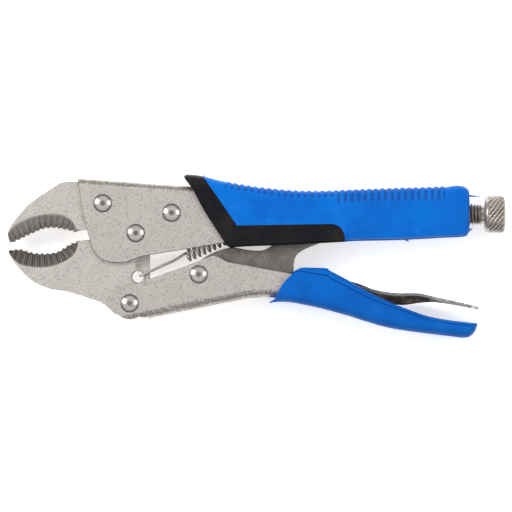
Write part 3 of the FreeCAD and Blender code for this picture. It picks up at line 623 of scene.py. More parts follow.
def plate(loop, half, edge_radius):
    """A flat plate: rings of its outline, drawn in by a quarter circle towards both flanks."""
    loop = anticlockwise(loop)
    normal = outward(loop)
    inset = edge_radius * (1 - np.cos(EDGE_TURNS))
    level = half - edge_radius * (1 - np.sin(EDGE_TURNS))
    level = np.concatenate([-level[::-1], level])
    inset = np.concatenate([inset[::-1], inset])
    rings = loop[None] - inset[:, None, None] * normal[None]
    z = np.broadcast_to(level[:, None, None], rings.shape[:2] + (1,))
    return np.concatenate([rings, z], axis=2)


print("line helpers ready")

# %% [markdown]
# ## Folded sheet: the fixed channel and the moving handle
# Both are stamped from two-millimetre sheet and folded. Their shape is already right in the
# frame, but a stamped edge is never knife-sharp. So each gets a copy of the frame's mesh with its
# loose triangles merged into flat faces, and its edges rounded a little and darkened as painted
# shade.

# %% Sheet pieces


SHEARED_EDGE = 0.38


def softened_copy(node, name, finish, width):
    """A node's mesh, merged into whole flat faces, with its edges rounded and darkened as painted
    shade.
    """
    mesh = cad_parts[node].data.copy()
    mesh.materials.clear()
    if "custom_normal" in mesh.attributes:
        mesh.attributes.remove(mesh.attributes["custom_normal"])
    work = bmesh.new()
    work.from_mesh(mesh)
    bmesh.ops.remove_doubles(work, verts=work.verts, dist=2e-6)
    bmesh.ops.dissolve_limit(work, angle_limit=math.radians(0.6), verts=work.verts,
                             edges=work.edges)
    work.to_mesh(mesh)
    work.free()
    piece = finished(name, mesh, finish)
    store_fold_shade(mesh)
    # The rounded edges get the dark edge nickel, painted shade along every edge of the sheet.
    mesh.materials.append(EDGE_SHADE_NICKEL)
    soften(piece, width).modifiers["softened_edges"].material = 1
    return piece


def store_fold_shade(mesh):
    """Store how far each face corner leans away from the flank, as painted shade on the bends."""
    lean = np.zeros(len(mesh.loops) * 3)
    mesh.corner_normals.foreach_get("vector", lean)
    share = rise(1 - np.abs(lean[2::3]), 0.0, 0.03)
    mesh.attributes.new("fold", "FLOAT", "CORNER").data.foreach_set("value", share)


channel = softened_copy("upper_channel", "upper_channel_sheet", NICKEL, SHEARED_EDGE)
fitted(channel, "root", "upper_channel")
handle = softened_copy("lower_handle", "lower_handle_sheet", NICKEL, SHEARED_EDGE)
fitted(handle, "lower_handle", "lower_handle")

# %% [markdown]
# ## Rivets
# A rivet is turned about its own axis: a shank through the sheets and a low dome on each side.
# The dome's edge stands a little off the sheet, and the dark ring painted there is partly dirt and
# partly painted shade.

# %% Turned pieces


def turned(profile, centre, count=96):
    """Turn a profile of (out, height) about the thickness direction through a side-view centre."""
    angle = np.linspace(0.0, 2 * np.pi, count, endpoint=False)
    out, level = profile[:, 0:1], profile[:, 1:2]
    x = centre[0] + out * np.cos(angle)
    y = centre[1] + out * np.sin(angle)
    return np.stack([x, y, np.broadcast_to(level, x.shape)], axis=2)


HEAD_RADIUS = (edge("jaw_pivot_rivet", 0, 1) - edge("jaw_pivot_rivet", 0, 0)) / 2
HEAD_TOP = edge("jaw_pivot_rivet", 2, 1)
RIM_RISE = 0.35
SHANK_RADIUS = 3.0


def rivet_profile():
    """From pole to pole: a circular dome, a short rim, the shank, and the same below."""
    dome_rise = HEAD_TOP - FLANK - RIM_RISE
    dome_radius = (dome_rise ** 2 + HEAD_RADIUS ** 2) / (2 * dome_rise)
    turn = np.linspace(0.0, math.asin(HEAD_RADIUS / dome_radius), 22)
    dome = np.stack([dome_radius * np.sin(turn), HEAD_TOP - dome_radius * (1 - np.cos(turn))], 1)
    rim = [[HEAD_RADIUS, FLANK + 0.2], [HEAD_RADIUS - 0.25, FLANK + 0.02], [SHANK_RADIUS, FLANK]]
    upper = np.vstack([dome, rim])
    return np.vstack([upper, upper[::-1] * [1, -1]])


RIVETS = (
    ("upper_jaw_front_rivet", FRONT_RIVET, "root"),
    ("upper_jaw_rear_rivet", REAR_RIVET, "root"),
    ("jaw_pivot_rivet", JAW_PIVOT, "root"),
    ("handle_pivot_rivet", HANDLE_PIVOT, "lower_handle"),
    ("link_pivot_rivet", LINK_PIVOT, "lower_handle"),
)
profile = rivet_profile()
for node, centre, body in RIVETS:
    shell = turned(profile, centre)
    # rim marks the head's edge, darkened as dirt and as painted shade.
    rim = rise(np.abs(profile[:, 0]), HEAD_RADIUS - 0.75, HEAD_RADIUS)
    rim = np.broadcast_to(rim[:, None], shell.shape[:2])
    fitted(surface(f"{node}_turned", [shell], RIVET_STEEL, {"rim": rim}), body, node)

# %% [markdown]
# ## Jaws
# Each jaw is forged flat, then hollowed from both sides, so its mouth slopes from an arc on the
# flank to a toothed ridge on the middle plane. The surface is a stack of outlines through the
# thickness: each mouth point slides in a straight line from the arc to the ridge, and the teeth
# grow along that line, so their ridges run across the whole bevel as they do when cut.

# %% Jaw surfaces
CREST_HALF = 0.9
MOUTH_COUNT = 400
NOSE_COUNT = 90
NOSE_FADE = 24
TEETH = 13
FINE_CUTS = 2.5
FINE_DEPTH = 0.26


def tooth_wave(count, pointed):
    """Height of the teeth along the mouth, 0 at the bottom between two teeth and 1 on a crest.

    Each tooth is one arch of a sine. Upright arches give rounded crests with narrow valleys, and
    the same arches upside down give pointed crests with rounded valleys.
    """
    arch = np.abs(np.sin(np.pi * np.linspace(0.0, TEETH, count)))
    return 1 - arch ** 0.9 if pointed else arch ** 0.75


def jaw(ridge, arc, nose, flank_nose, back, half, depth, pointed, darkness):
    """Stack a jaw's outlines through its thickness.

    Every outline is the mouth's line, the back and the nose. A mouth point lies between arc, its
    place on the flank, and ridge, its place in the middle; the nose lies between its two lines in
    the same way. The teeth's wave moves a mouth point towards the mouth, from nothing on the arc
    to the full depth on the ridge.
    """
    wave = tooth_wave(MOUTH_COUNT, pointed)
    fine = np.abs(np.sin(np.pi * FINE_CUTS * np.linspace(0.0, TEETH, MOUTH_COUNT))) ** 0.7
    ridge = smooth_line(ridge, MOUTH_COUNT)
    arc = smooth_line(arc, MOUTH_COUNT)
    nose = smooth_line(nose, NOSE_COUNT)[::-1]
    flank_nose = smooth_line(flank_nose, NOSE_COUNT)[::-1]
    towards = ridge - arc
    towards /= np.linalg.norm(towards, axis=1, keepdims=True) + 1e-9
    levels = np.append(np.linspace(half, CREST_HALF, 15), 0.0)
    share = np.clip((half - levels) / (half - CREST_HALF), 0.0, 1.0)
    slope = (np.sin(share * np.pi / 2) ** 1.15)[:, None, None]
    grow = rise(share, 0.05, 0.9)[:, None]
    grow_fine = rise(share, 0.0, 0.12)[:, None]
    fade = rise(np.linspace(0.0, 1.0, MOUTH_COUNT), 0.0, 0.03)
    tooth = depth * (wave - 0.5) * grow * fade + FINE_DEPTH * (fine - 0.5) * grow_fine
    mouth = arc + (ridge - arc) * slope + towards * tooth[:, :, None]
    front = flank_nose + (nose - flank_nose) * slope
    back_rows = np.broadcast_to(np.array(back), (len(levels), len(back), 2))
    outline = np.concatenate([mouth, back_rows, front], axis=1)
    z = np.broadcast_to(levels[:, None, None], outline.shape[:2] + (1,))
    upper = np.concatenate([outline, z], axis=2)
    shell = np.concatenate([upper, upper[-2::-1] * [1, 1, -1]])
    # The bevel is bare steel where the teeth go through the plating; its darkness is partly painted
    # shade, more on the lower jaw.
    cut = np.zeros(shell.shape[:2])
    cut[1:-1, :MOUTH_COUNT] = darkness
    # Painted shade between the teeth and in their fine cuts.
    valley = np.zeros(shell.shape[:2])
    fine_share = grow_fine[[*range(len(levels)), *range(len(levels) - 2, -1, -1)]]
    valley[:, :MOUTH_COUNT] = (1 - (wave * 0.3 + fine * 0.7)) * fine_share
    return shell, {"cut": cut, "valley": valley}


UPPER_RIDGE = [(-17.2, -0.5), (-14.5, 0.7), (-11.5, 2.1), (-7.3, 4.1), (-2.6, 5.9), (2.5, 6.2),
               (7.8, 5.3), (12.3, 4.2)]
UPPER_ARC = [(-19.0, 3.0), (-17.6, 5.4), (-15.2, 7.6), (-10.8, 9.9), (-6.4, 11.4), (-2.0, 12.2),
             (2.4, 12.25), (5.3, 12.0), (8.2, 10.8), (10.3, 9.0), (11.9, 6.3), (12.3, 5.0)]
UPPER_CROWN = [(-16.0, 9.0), (-14.4, 11.1), (-8.8, 17.1), (2.4, 24.7), (5.6, 26.3),
               (9.6, 26.9), (12.6, 26.6)]
UPPER_NOSE = [(-17.8, -0.8), (-18.9, -0.3), (-19.3, 1.2), (-18.9, 3.4)] + UPPER_CROWN
UPPER_FLANK_NOSE = [(-18.95, 3.4), (-18.6, 4.4), (-17.8, 6.1)] + UPPER_CROWN
UPPER_BACK = [(15.4, 5.0), (22.5, 6.4), (30.0, 9.0), (50.0, 7.6), (58.0, 8.0), (60.9, 10.0),
              (60.9, 21.8), (12.8, 25.7)]

LOWER_RIDGE = [(-17.8, -3.9), (-13.0, -3.8), (-10.0, -4.7), (-6.7, -5.4), (-1.7, -5.6),
               (3.6, -4.7), (8.2, -1.9), (12.3, -0.2)]
LOWER_ARC = [(-18.6, -4.6), (-17.5, -6.4), (-16.0, -8.7), (-13.7, -10.5), (-10.8, -11.5),
             (-6.4, -12.1), (-2.0, -12.1), (2.4, -11.2), (6.8, -9.5), (9.7, -7.7), (11.7, -5.6),
             (12.6, -3.3), (12.9, -0.5)]
LOWER_CROWN = [(-14.4, -11.4), (-10.4, -15.7), (-6.4, -18.7), (-2.4, -20.5), (1.6, -21.7),
               (7.2, -22.5), (13.7, -24.3), (19.7, -26.3), (23.8, -27.9), (27.0, -30.7),
               (29.2, -32.7)]
LOWER_NOSE = [(-18.3, -3.9), (-18.9, -4.8), (-18.3, -6.2), (-17.0, -8.1)] + LOWER_CROWN
LOWER_FLANK_NOSE = [(-18.45, -5.3), (-17.9, -6.5), (-16.9, -8.2)] + LOWER_CROWN
SPRING_HOLE = HANDLE_PIVOT + [3.6, 11.8]


def round_about(centre, radius, start, stop, count):
    """Points on an arc about a centre, between two angles in degrees."""
    turn = np.radians(np.linspace(start, stop, count))
    return centre + radius * np.stack([np.cos(turn), np.sin(turn)], axis=1)


def soft_flank(shell, inset, depth):
    """Draw the flanks' outlines in a little behind the mouth, so that their edges are rounded."""
    loop = anticlockwise(shell[0, :, :2])
    turned_round = not np.array_equal(loop[0], shell[0, 0, :2])
    normal = outward(loop)[::-1] if turned_round else outward(loop)
    share = np.ones((len(normal), 1))
    share[:MOUTH_COUNT + 1] = 0.0
    share[-NOSE_FADE:, 0] = np.linspace(1.0, 0.0, NOSE_FADE)
    drawn_in = shell.copy()
    for row in (0, -1):
        drawn_in[row, :, :2] -= inset * share * normal
    near_flank = shell[[0, -1]].copy()
    near_flank[:, :, 2] -= np.sign(near_flank[:, :, 2]) * depth
    return np.concatenate([drawn_in[:1], near_flank[:1], shell[1:-1], near_flank[1:], drawn_in[-1:]])


def doubled_ends(layer):
    """Repeat the first and last rows of a layer, to match the rounded flank's extra outlines."""
    return np.concatenate([layer[:1], layer[:1], layer[1:-1], layer[-1:], layer[-1:]])


upper_half = edge("upper_jaw", 2, 1)
shell, layers = jaw(UPPER_RIDGE, UPPER_ARC, UPPER_NOSE, UPPER_FLANK_NOSE, UPPER_BACK,
                    upper_half, 0.85, False, 0.62)
layers = {layer: doubled_ends(numbers) for layer, numbers in layers.items()}
upper_jaw = surface("upper_jaw_forging", [soft_flank(shell, 0.35, 0.3)], JAW_NICKEL, layers)
fitted(upper_jaw, "root", "upper_jaw")

# %% [markdown]
# ## Lower jaw
# The lower jaw is forged as one piece with its web, which carries the two pivots and the hole for
# the spring. It is stacked like the upper jaw, and its holes and recesses are then cut out of it.

# %% Lower jaw
lower_half = edge("lower_jaw", 2, 1)
HUB = 7.2
HANDLE_HUB = 6.6
lower_back = np.vstack([
    [(14.6, 0.3), (17.4, 0.55), (20.5, 0.9), (24.0, 1.4), (28.0, 2.2)],
    round_about(JAW_PIVOT, HUB, 175.0, 5.0, 24),
    [tuple(SPRING_HOLE + [5.45, 12.1]), tuple(SPRING_HOLE + [5.45, -5.6])],
    round_about(HANDLE_PIVOT, HANDLE_HUB, 15.0, -125.0, 24),
])
# The darkness 0.95 here, against 0.62 on the upper jaw, is partly painted shade on the lower jaw's
# bevel.
shell, layers = jaw(LOWER_RIDGE, LOWER_ARC, LOWER_NOSE, LOWER_FLANK_NOSE, lower_back,
                    lower_half, 0.85, True, 0.95)
layers = {layer: doubled_ends(numbers) for layer, numbers in layers.items()}
lower_jaw = surface("lower_jaw_forging", [soft_flank(shell, 0.35, 0.3)], JAW_NICKEL, layers)


def bored(piece, cutters):
    """Take round cutters out of a piece with an exact boolean, then drop the cutters.

    Each cutter comes with a darkness that is painted on the walls it cuts: painted shade in the
    recesses and the spring hole.
    """
    for number, (shell, darkness) in enumerate(cutters):
        layers = {"cut": np.full(shell.shape[:2], darkness),
                  "valley": np.full(shell.shape[:2], darkness ** 3)}
        cutter = surface(f"{piece.name}_cutter_{number}", [shell], JAW_NICKEL, layers)
        bore = piece.modifiers.new("bore", "BOOLEAN")
        bore.solver = "EXACT"
        bore.object = cutter
        bpy.context.view_layer.update()
        solid = piece.evaluated_get(bpy.context.evaluated_depsgraph_get())
        mesh = bpy.data.meshes.new_from_object(solid)
        piece.modifiers.clear()
        piece.data = mesh
        bpy.data.objects.remove(cutter)
    piece.data.set_sharp_from_angle(angle=SHARP_ANGLE)
    return piece


WEB_HALF = 2.5
RECESS_RADIUS = 9.0
# The recesses' and the hole's darkness is painted shade on their walls.
RECESS_PAINTED_SHADE = 0.5
HOLE_PAINTED_SHADE = 1.0
recess_centre = SPRING_HOLE + [7.9, 6.1]
HOOK_HOLE = 2.5
BURR = 0.6
above = lower_half + 3.0
hole_side = np.array([[HOOK_HOLE, 0.0], [HOOK_HOLE, lower_half - BURR],
                      [HOOK_HOLE + BURR, lower_half], [HOOK_HOLE + BURR, above]])
through = turned(np.vstack([hole_side[:0:-1] * [1, -1], hole_side[1:]]), SPRING_HOLE, 48)
recess = np.array([[RECESS_RADIUS, WEB_HALF], [RECESS_RADIUS, above]])
bored(lower_jaw, [(turned(recess, recess_centre, 96), RECESS_PAINTED_SHADE),
                  (turned(recess[::-1] * [1, -1], recess_centre, 96), RECESS_PAINTED_SHADE),
                  (through, HOLE_PAINTED_SHADE)])
fitted(lower_jaw, "lower_jaw", "lower_jaw")
print("lower jaw after boring:", len(lower_jaw.data.polygons), "faces")

# %% [markdown]
# ## Toggle link
# The link is a dark plate that runs from the lower handle's rivet into the grip, where its nose
# bears on the adjusting screw. Its heel hangs down to the release lever. One closed smooth
# outline makes it, with its edges drawn in by a quarter circle.

# %% Link plate
LINK_NOSE_RADIUS = 4.0
NOSE = np.array([edge("toggle_link", 0, 1), edge("toggle_link", 1, 1)]) - LINK_NOSE_RADIUS
link_half = edge("toggle_link", 2, 1)
link_outline = np.vstack([
    round_about(LINK_PIVOT, 5.6, 250.0, 108.0, 20),
    smooth_line([LINK_PIVOT + p for p in ((0.6, 6.2), (3.5, 8.1), (8.0, 10.3), (13.4, 11.85),
                                          (17.6, 11.75), (22.4, 10.85), (27.7, 10.6),
                                          (30.2, 11.3), (32.2, 12.5))], 50),
    round_about(NOSE, LINK_NOSE_RADIUS, 115.0, -62.0, 24),
    smooth_line([NOSE + p for p in ((-8.0, -8.6), (-15.7, -12.15), (-20.4, -13.9), (-23.4, -15.3),
                                    (-25.6, -16.8), (-26.9, -18.6), (-27.4, -21.0),
                                    (-27.65, -25.2))], 40),
    smooth_line([LEVER_PIN + p for p in ((-4.6, 4.0), (-9.0, 2.7), (-16.5, 0.3))], 12),
    smooth_line([LINK_PIVOT + p for p in ((24.0, -5.0), (12.0, -5.7), (1.0, -5.55))], 12),
])
link = surface("toggle_link_plate", [plate(link_outline, link_half, 0.45)], LINK_STEEL_AND_SHADE)
fitted(link, "toggle_link", "toggle_link")

# %% [markdown]
# ## Moulded grips
# The upper grip is one moulding in two colours over the channel. Both colours share one outer
# form: flat flanks with a slight crown, a rounded top and a softer bottom corner. It is cut into
# upright sections along its length, and each section is a closed U round the channel. The blue
# part's sections stop at the seam, the black ones start there, so the two meet without a step.

# %% The grip's outer form
TOP_RADIUS = 3.4
FOOT_RADIUS = 1.7
CROWN = 0.3
WALL_INSIDE = FLANK - 1.0
DOME = 0.35

grip_top = smooth_line([
    REAR_RIVET + (5.5, 16.6), REAR_RIVET + (7.0, 17.35), REAR_RIVET + (14.1, 16.6),
    REAR_RIVET + (23.1, 14.3), REAR_RIVET + (36.5, 11.9), REAR_RIVET + (46.0, 10.75),
    NOSE + (-25.0, 11.35), NOSE + (-12.5, 11.35), NOSE + (-4.2, 11.7), NOSE + (7.6, 12.15),
    NOSE + (20.3, 12.6), NOSE + (31.8, 12.9), (CHANNEL_REAR - 7.6, SCREW_AXIS + 12.5),
    (CHANNEL_REAR - 1.9, SCREW_AXIS + 13.3), (CHANNEL_REAR + 1.6, SCREW_AXIS + 12.9),
    (GRIP_REAR - 0.6, SCREW_AXIS + 11.7), (GRIP_REAR, SCREW_AXIS + 10.6)], 900)
COLLAR_FRONT = [
    REAR_RIVET + (5.5, 16.4), REAR_RIVET + (5.9, 15.4), REAR_RIVET + (9.6, 10.3),
    REAR_RIVET + (14.5, 1.3), REAR_RIVET + (19.3, -6.3), REAR_RIVET + (23.5, -12.8),
    REAR_RIVET + (24.7, -14.6), REAR_RIVET + (26.1, -15.6)]
grip_foot = np.vstack([
    smooth_line(COLLAR_FRONT, 200),
    smooth_line([REAR_RIVET + (27.0, -15.75), REAR_RIVET + (30.9, -15.3),
                 REAR_RIVET + (38.0, -14.9), REAR_RIVET + (48.7, -14.6), NOSE + (-9.5, -11.85),
                 NOSE + (-4.8, -11.6), NOSE + (0.7, -11.2), NOSE + (20.3, -10.8),
                 (CHANNEL_REAR - 8.0, SCREW_AXIS - 10.6), (CHANNEL_REAR + 1.4, SCREW_AXIS - 10.1),
                 (GRIP_REAR - 0.7, SCREW_AXIS - 8.9), (GRIP_REAR, SCREW_AXIS - 7.6)], 500)])
BAND_CORNER = NOSE + [-11.0, -9.8]
seam = np.vstack([
    [REAR_RIVET + (14.1, 16.45), REAR_RIVET + (29.4, -5.7)],
    round_about(BAND_CORNER, 6.25, 90.0, 0.0, 16),
    [NOSE + (-4.75, -11.6)]])
roof_line = np.array([[0.0, 24.0], [CHANNEL_REAR - 122.3, 24.2 + 0.3], [NOSE[0] - 25.0, 20.0],
                      [CHANNEL_REAR, SCREW_AXIS + 8.45], [GRIP_REAR, SCREW_AXIS + 8.45]])


def half_width(y, foot, top, half):
    """How far the outer form stands from the middle plane at height y of a section."""
    middle_height = (foot + top) / 2
    reach = np.maximum((top - foot) / 2, 1e-3)
    crowned = half - CROWN * np.clip((y - middle_height) / reach, -1, 1) ** 2
    into_top = np.clip(y - (top - TOP_RADIUS), 0, TOP_RADIUS)
    into_foot = np.clip((foot + FOOT_RADIUS) - y, 0, FOOT_RADIUS)
    lost_top = TOP_RADIUS - np.sqrt(TOP_RADIUS ** 2 - into_top ** 2)
    lost_foot = FOOT_RADIUS - np.sqrt(FOOT_RADIUS ** 2 - into_foot ** 2)
    return crowned - lost_top - lost_foot


RIB_PITCH = 3.0
RIB_DEPTH = 0.65
RIB_START, RIB_END = NOSE[0] - 58.2, NOSE[0] + 40.0
LONG_RIBS = NOSE[0] - 8.5


def rib_height(x):
    """Rounded ribs along the back of the grip, fading out within a pitch at both ends."""
    wave = np.abs(np.sin(np.pi * (x - RIB_START) / RIB_PITCH)) ** 1.3
    return wave * rise(x, RIB_START, RIB_START + 0.5) * (1 - rise(x, RIB_END - 0.5, RIB_END))


def rib_reach(x):
    """How far the ribs run down the flank: short in front, longer behind."""
    return 3.0 + 2.6 * rise(x, LONG_RIBS - 1.5, LONG_RIBS + 1.5)


SIDE_COUNT = 44
TOP_COUNT = 14


def arch_sections(x, low, foot, top, inner_roof, ribbed):
    """Closed U sections round the channel at each x, from low up one flank, over, and down.

    Also the two numbers that the plastic's finish reads: how far down between two ribs a point
    lies, which is also painted shade, and a painted highlight line just above the foot.
    """
    x, low, foot, top, inner_roof = (a[:, None] for a in (x, low, foot, top - DOME, inner_roof))
    climb = (1 - np.cos(np.linspace(0.0, np.pi, SIDE_COUNT)))[None] / 2
    y = low + (top - low) * climb
    end_turn = np.clip((x - (GRIP_REAR - 1.8)) / 1.8, 0.0, 1.0)
    half = GRIP_HALF - 1.8 * (1 - np.sqrt(1 - end_turn ** 2))
    z = np.maximum(half_width(y, foot, top, half), 0.2)
    groove = np.zeros_like(z)
    across = z[:, -1:] * np.linspace(1.0, -1.0, TOP_COUNT + 2)[None, 1:-1]
    over = np.broadcast_to(top, across.shape) + DOME * (1 - (across / z[:, -1:]) ** 2)
    if ribbed:
        height = rib_height(x)
        lean_up = np.clip((y - (top - TOP_RADIUS)) / TOP_RADIUS, 0.0, 1.0)
        lean_out = np.sqrt(1 - lean_up ** 2)
        faded = rise(rib_reach(x) - (top - y), 0.0, 0.5)
        groove = (1.0 - height) * faded * rise(x, RIB_START - 0.4, RIB_START + 0.2)
        groove = groove * (1 - rise(x, RIB_END - 0.2, RIB_END + 0.4))
        over = over + RIB_DEPTH * (height - 0.45) * rise(x, RIB_START, RIB_START + 0.5)
        z = z - RIB_DEPTH * groove * lean_out
        y = y + (RIB_DEPTH * (height - 0.45) * rise(x, RIB_START, RIB_START + 0.5)) * faded * lean_up
    inner = np.array([[1.0, 0.0], [1.0, 0.5], [1.0, 1.0], [-1.0, 1.0], [-1.0, 0.5], [-1.0, 0.0]])
    inner_half = np.minimum(WALL_INSIDE, z[:, :1] - 0.05)
    roof = np.maximum(np.minimum(inner_roof, top - 0.4), low)
    inner_y = low + (roof - low) * inner[None, ::-1, 1]
    inner_z = inner_half * inner[None, ::-1, 0]
    section_y = np.concatenate([y, over, y[:, ::-1], inner_y], axis=1)
    section_z = np.concatenate([z, across, -z[:, ::-1], inner_z], axis=1)
    plain = np.zeros((len(y), len(inner)))
    ridge_groove = np.broadcast_to(groove[:, -1:] * 0.6, across.shape)
    grooves = np.concatenate([groove, ridge_groove, groove[:, ::-1], plain], axis=1)
    # A painted highlight line just above the foot.
    line = np.exp(-((y - foot - 0.75) / 0.22) ** 2)
    highlight_lines = np.concatenate([line, np.zeros(across.shape), line[:, ::-1], plain], axis=1)
    return (np.stack([np.broadcast_to(x, section_y.shape), section_y, section_z], axis=2),
            {"groove": grooves, "mould_line": highlight_lines})
print("ribs run in millimetres from", round(RIB_START, 1), "to", round(RIB_END, 1))

# %% [markdown]
# ## Blue part of the upper grip
# The blue part is moulded over the channel's rear. It is the outer form laid out along its
# length, with extra rows where the ribs are, and a slot below in which the link moves.

# %% Blue part of the upper grip
SLOT_END = NOSE[0] + 6.0
front_x = np.linspace(REAR_RIVET[0] + 14.2, RIB_START - 1.0, 36, endpoint=False)
rib_x = np.arange(RIB_START - 1.0, RIB_END + 1.0, RIB_PITCH / 10)
corner_x = BAND_CORNER[0] + 6.25 * np.sin(np.linspace(0.1, np.pi / 2, 14))
tail_x = np.linspace(RIB_END + 1.0, GRIP_REAR - 1.8, 26)[1:]
turn_x = GRIP_REAR - 1.8 + 1.8 * np.sin(np.linspace(0.0, np.pi / 2, 9)[1:])
rib_x = np.append(rib_x, [SLOT_END, SLOT_END + 0.02])
blue_x = np.unique(np.round(np.concatenate([front_x, rib_x, corner_x, tail_x, turn_x]), 4))
top = height_on(grip_top, blue_x)
foot = height_on(grip_foot, blue_x)
low = np.maximum(foot, height_on(seam, np.minimum(blue_x, seam[-1, 0])))
low = np.where(blue_x > seam[-1, 0], foot, low)
low = np.minimum(low, top - DOME - 0.15)
blue, layers = arch_sections(blue_x, low, foot, top, height_on(roof_line, blue_x) - 1.0, True)
layers["mould_line"] *= rise(blue_x, seam[-1, 0], seam[-1, 0] + 3.0)[:, None]
closed = blue_x > SLOT_END
blue[closed, -6:, 1] = low[closed, None]
blue[closed, -6:, 2] = 0.0
SCREW_HOLE = 5.5


def hole_ring(section, radius, x):
    """A section's points drawn in to a circle about the screw's axis, at its own x."""
    arm = section[:, 1:] - [SCREW_AXIS, 0.0]
    arm = arm / (np.linalg.norm(arm, axis=1, keepdims=True) + 1e-9) * radius
    return np.column_stack([np.full(len(arm), x), arm[:, :1] + SCREW_AXIS, arm[:, 1:]])


rear = [hole_ring(blue[-1], SCREW_HOLE + 0.5, GRIP_REAR),
        hole_ring(blue[-1], SCREW_HOLE, GRIP_REAR - 0.5),
        hole_ring(blue[-1], SCREW_HOLE, CHANNEL_REAR + 0.4)]
blue = np.concatenate([blue, np.stack(rear)])
layers = {layer: np.pad(numbers, ((0, len(rear)), (0, 0))) for layer, numbers in layers.items()}
fitted(surface("upper_grip_moulding", [blue], BLUE, layers), "root", "upper_grip")

# %% [markdown]
# ## The black collar
# In front of the seam the collar is an arch over the channel, like the blue part. Behind the
# seam's top it is only two cheeks, one on each flank, that run down and back as a band. The
# band's lower edge turns in under the channel's own edge.

# %% Collar
collar_front_x = REAR_RIVET[0] + 5.5
seam_top_x = REAR_RIVET[0] + 14.1
arch_x = collar_front_x + (seam_top_x - collar_front_x) * np.linspace(0.02, 1.0, 30) ** 1.4
collar_top = height_on(grip_top, arch_x)
collar_low = height_on(grip_foot, arch_x)
arch, _ = arch_sections(arch_x, np.minimum(collar_low, collar_top - DOME - 0.1), collar_low - 4.0,
                        collar_top, height_on(roof_line, arch_x) - 1.0, False)

cheek_x = np.unique(np.round(np.concatenate([
    np.linspace(seam_top_x, REAR_RIVET[0] + 31.0, 70),
    np.linspace(REAR_RIVET[0] + 31.0, BAND_CORNER[0], 40),
    BAND_CORNER[0] + 6.2 * np.sin(np.linspace(0.05, np.pi / 2, 22))]), 4))
foot = height_on(grip_foot, cheek_x)
top = height_on(seam, cheek_x)
form_top = height_on(grip_top, cheek_x) - DOME
slanted = cheek_x < REAR_RIVET[0] + 26.0
form_foot = np.where(slanted, foot - 4.0, foot)
climb = (1 - np.cos(np.linspace(0.0, np.pi, SIDE_COUNT)))[None] / 2
y = foot[:, None] + (top - foot)[:, None] * climb
z = half_width(y, form_foot[:, None], form_top[:, None], GRIP_HALF)
inner_y = np.stack([top, foot + 2.0 * (~slanted), foot], axis=1)
inner_y = np.minimum(inner_y, top[:, None])
inner_z = np.stack([np.full_like(top, WALL_INSIDE), np.full_like(top, WALL_INSIDE),
                    np.where(slanted, WALL_INSIDE, 6.1)], axis=1)
inner_z = np.minimum(inner_z, z.min(axis=1, keepdims=True))
section_y = np.concatenate([y, inner_y], axis=1)
section_z = np.concatenate([z, inner_z], axis=1)
cheek = np.stack([np.broadcast_to(cheek_x[:, None], section_y.shape), section_y, section_z], axis=2)
collar = surface("upper_grip_collar", [arch, cheek, cheek * [1, 1, -1]], BLACK)
soften(collar, 0.35, 50.0)
fitted(collar, "root", "upper_grip_insert")

# %% [markdown]
# ## Lower sleeve
# The sleeve is an open trough pushed over the moving handle. Its flanks end in a rolled rim, with
# a fine line where the roll begins, and near the lever's pin both flanks stand up as a flap. Its
# front is cut on a slant and flares a little where it was pulled over the metal.

# %% Sleeve surface
SLEEVE_HALF = GRIP_HALF - 0.25
SLEEVE_ROUND = 4.6
sleeve_front = smooth_line([LEVER_PIN + p for p in (
    (-13.7, -8.2), (-12.0, -7.1), (-10.9, -6.0), (-8.3, -0.6), (-5.3, 2.9), (-2.7, 5.7))], 80)
sleeve_rim = np.vstack([sleeve_front, smooth_line([LEVER_PIN + p for p in (
    (-2.0, 6.3), (-0.4, 6.9), (0.8, 7.5), (6.0, 7.45), (12.0, 7.2), (13.2, 6.3), (16.6, 4.5),
    (20.6, 2.4), (26.8, -1.1), (33.0, -4.5), (39.5, -7.6), (44.7, -9.8), (56.7, -14.1),
    (67.5, -16.2), (79.4, -17.55))], 500)])
sleeve_bottom = smooth_line([LEVER_PIN + p for p in (
    (-13.7, -8.5), (-11.0, -8.0), (-4.0, -8.2), (7.7, -10.5), (20.6, -13.9), (28.8, -16.5),
    (39.5, -19.5), (52.5, -21.6), (67.5, -23.4), (73.5, -24.05), (76.5, -23.3), (78.4, -21.2),
    (79.6, -18.0))], 600)
handle_foot = np.array([LEVER_PIN + p for p in (
    (-20.0, -6.2), (-13.7, -5.8), (7.7, -8.3), (39.5, -17.2), (71.5, -21.9))])
handle_top = np.array([LEVER_PIN + p for p in (
    (-16.0, 5.9), (-4.2, 4.7), (13.5, 3.0), (26.5, -3.2), (39.5, -9.8), (71.5, -18.7))])

sleeve_x = np.unique(np.round(np.concatenate([
    LEVER_PIN[0] - 13.7 + np.linspace(0.02, 1.0, 40) ** 1.3 * 13.0,
    np.linspace(LEVER_PIN[0], LEVER_PIN[0] + 14.0, 60),
    np.linspace(LEVER_PIN[0] + 14.0, SLEEVE_REAR - 8.2, 150),
    [SLEEVE_REAR - 8.1, SLEEVE_REAR - 8.05],
    SLEEVE_REAR - 8.0 + 7.9 * np.sin(np.linspace(0.0, np.pi / 2, 30))]), 4))
top = height_on(sleeve_rim, sleeve_x)[:, None]
foot = np.minimum(height_on(sleeve_bottom, sleeve_x)[:, None], top - 0.12)
end_turn = np.clip((sleeve_x - (SLEEVE_REAR - 3.5)) / 3.5, 0.0, 1.0)[:, None]
half = SLEEVE_HALF - 3.0 * (1 - np.sqrt(1 - (0.98 * end_turn) ** 2))
rounding = np.minimum(SLEEVE_ROUND, (top - foot) * 0.8)
turn = np.linspace(0.0, np.pi / 2, 16)[None]
corner_y = foot + rounding * (1 - np.cos(turn))
corner_z = half - rounding * (1 - np.sin(turn))
behind_flap = rise(sleeve_x, LEVER_PIN[0] - 4.0, LEVER_PIN[0] + 1.5)[:, None]
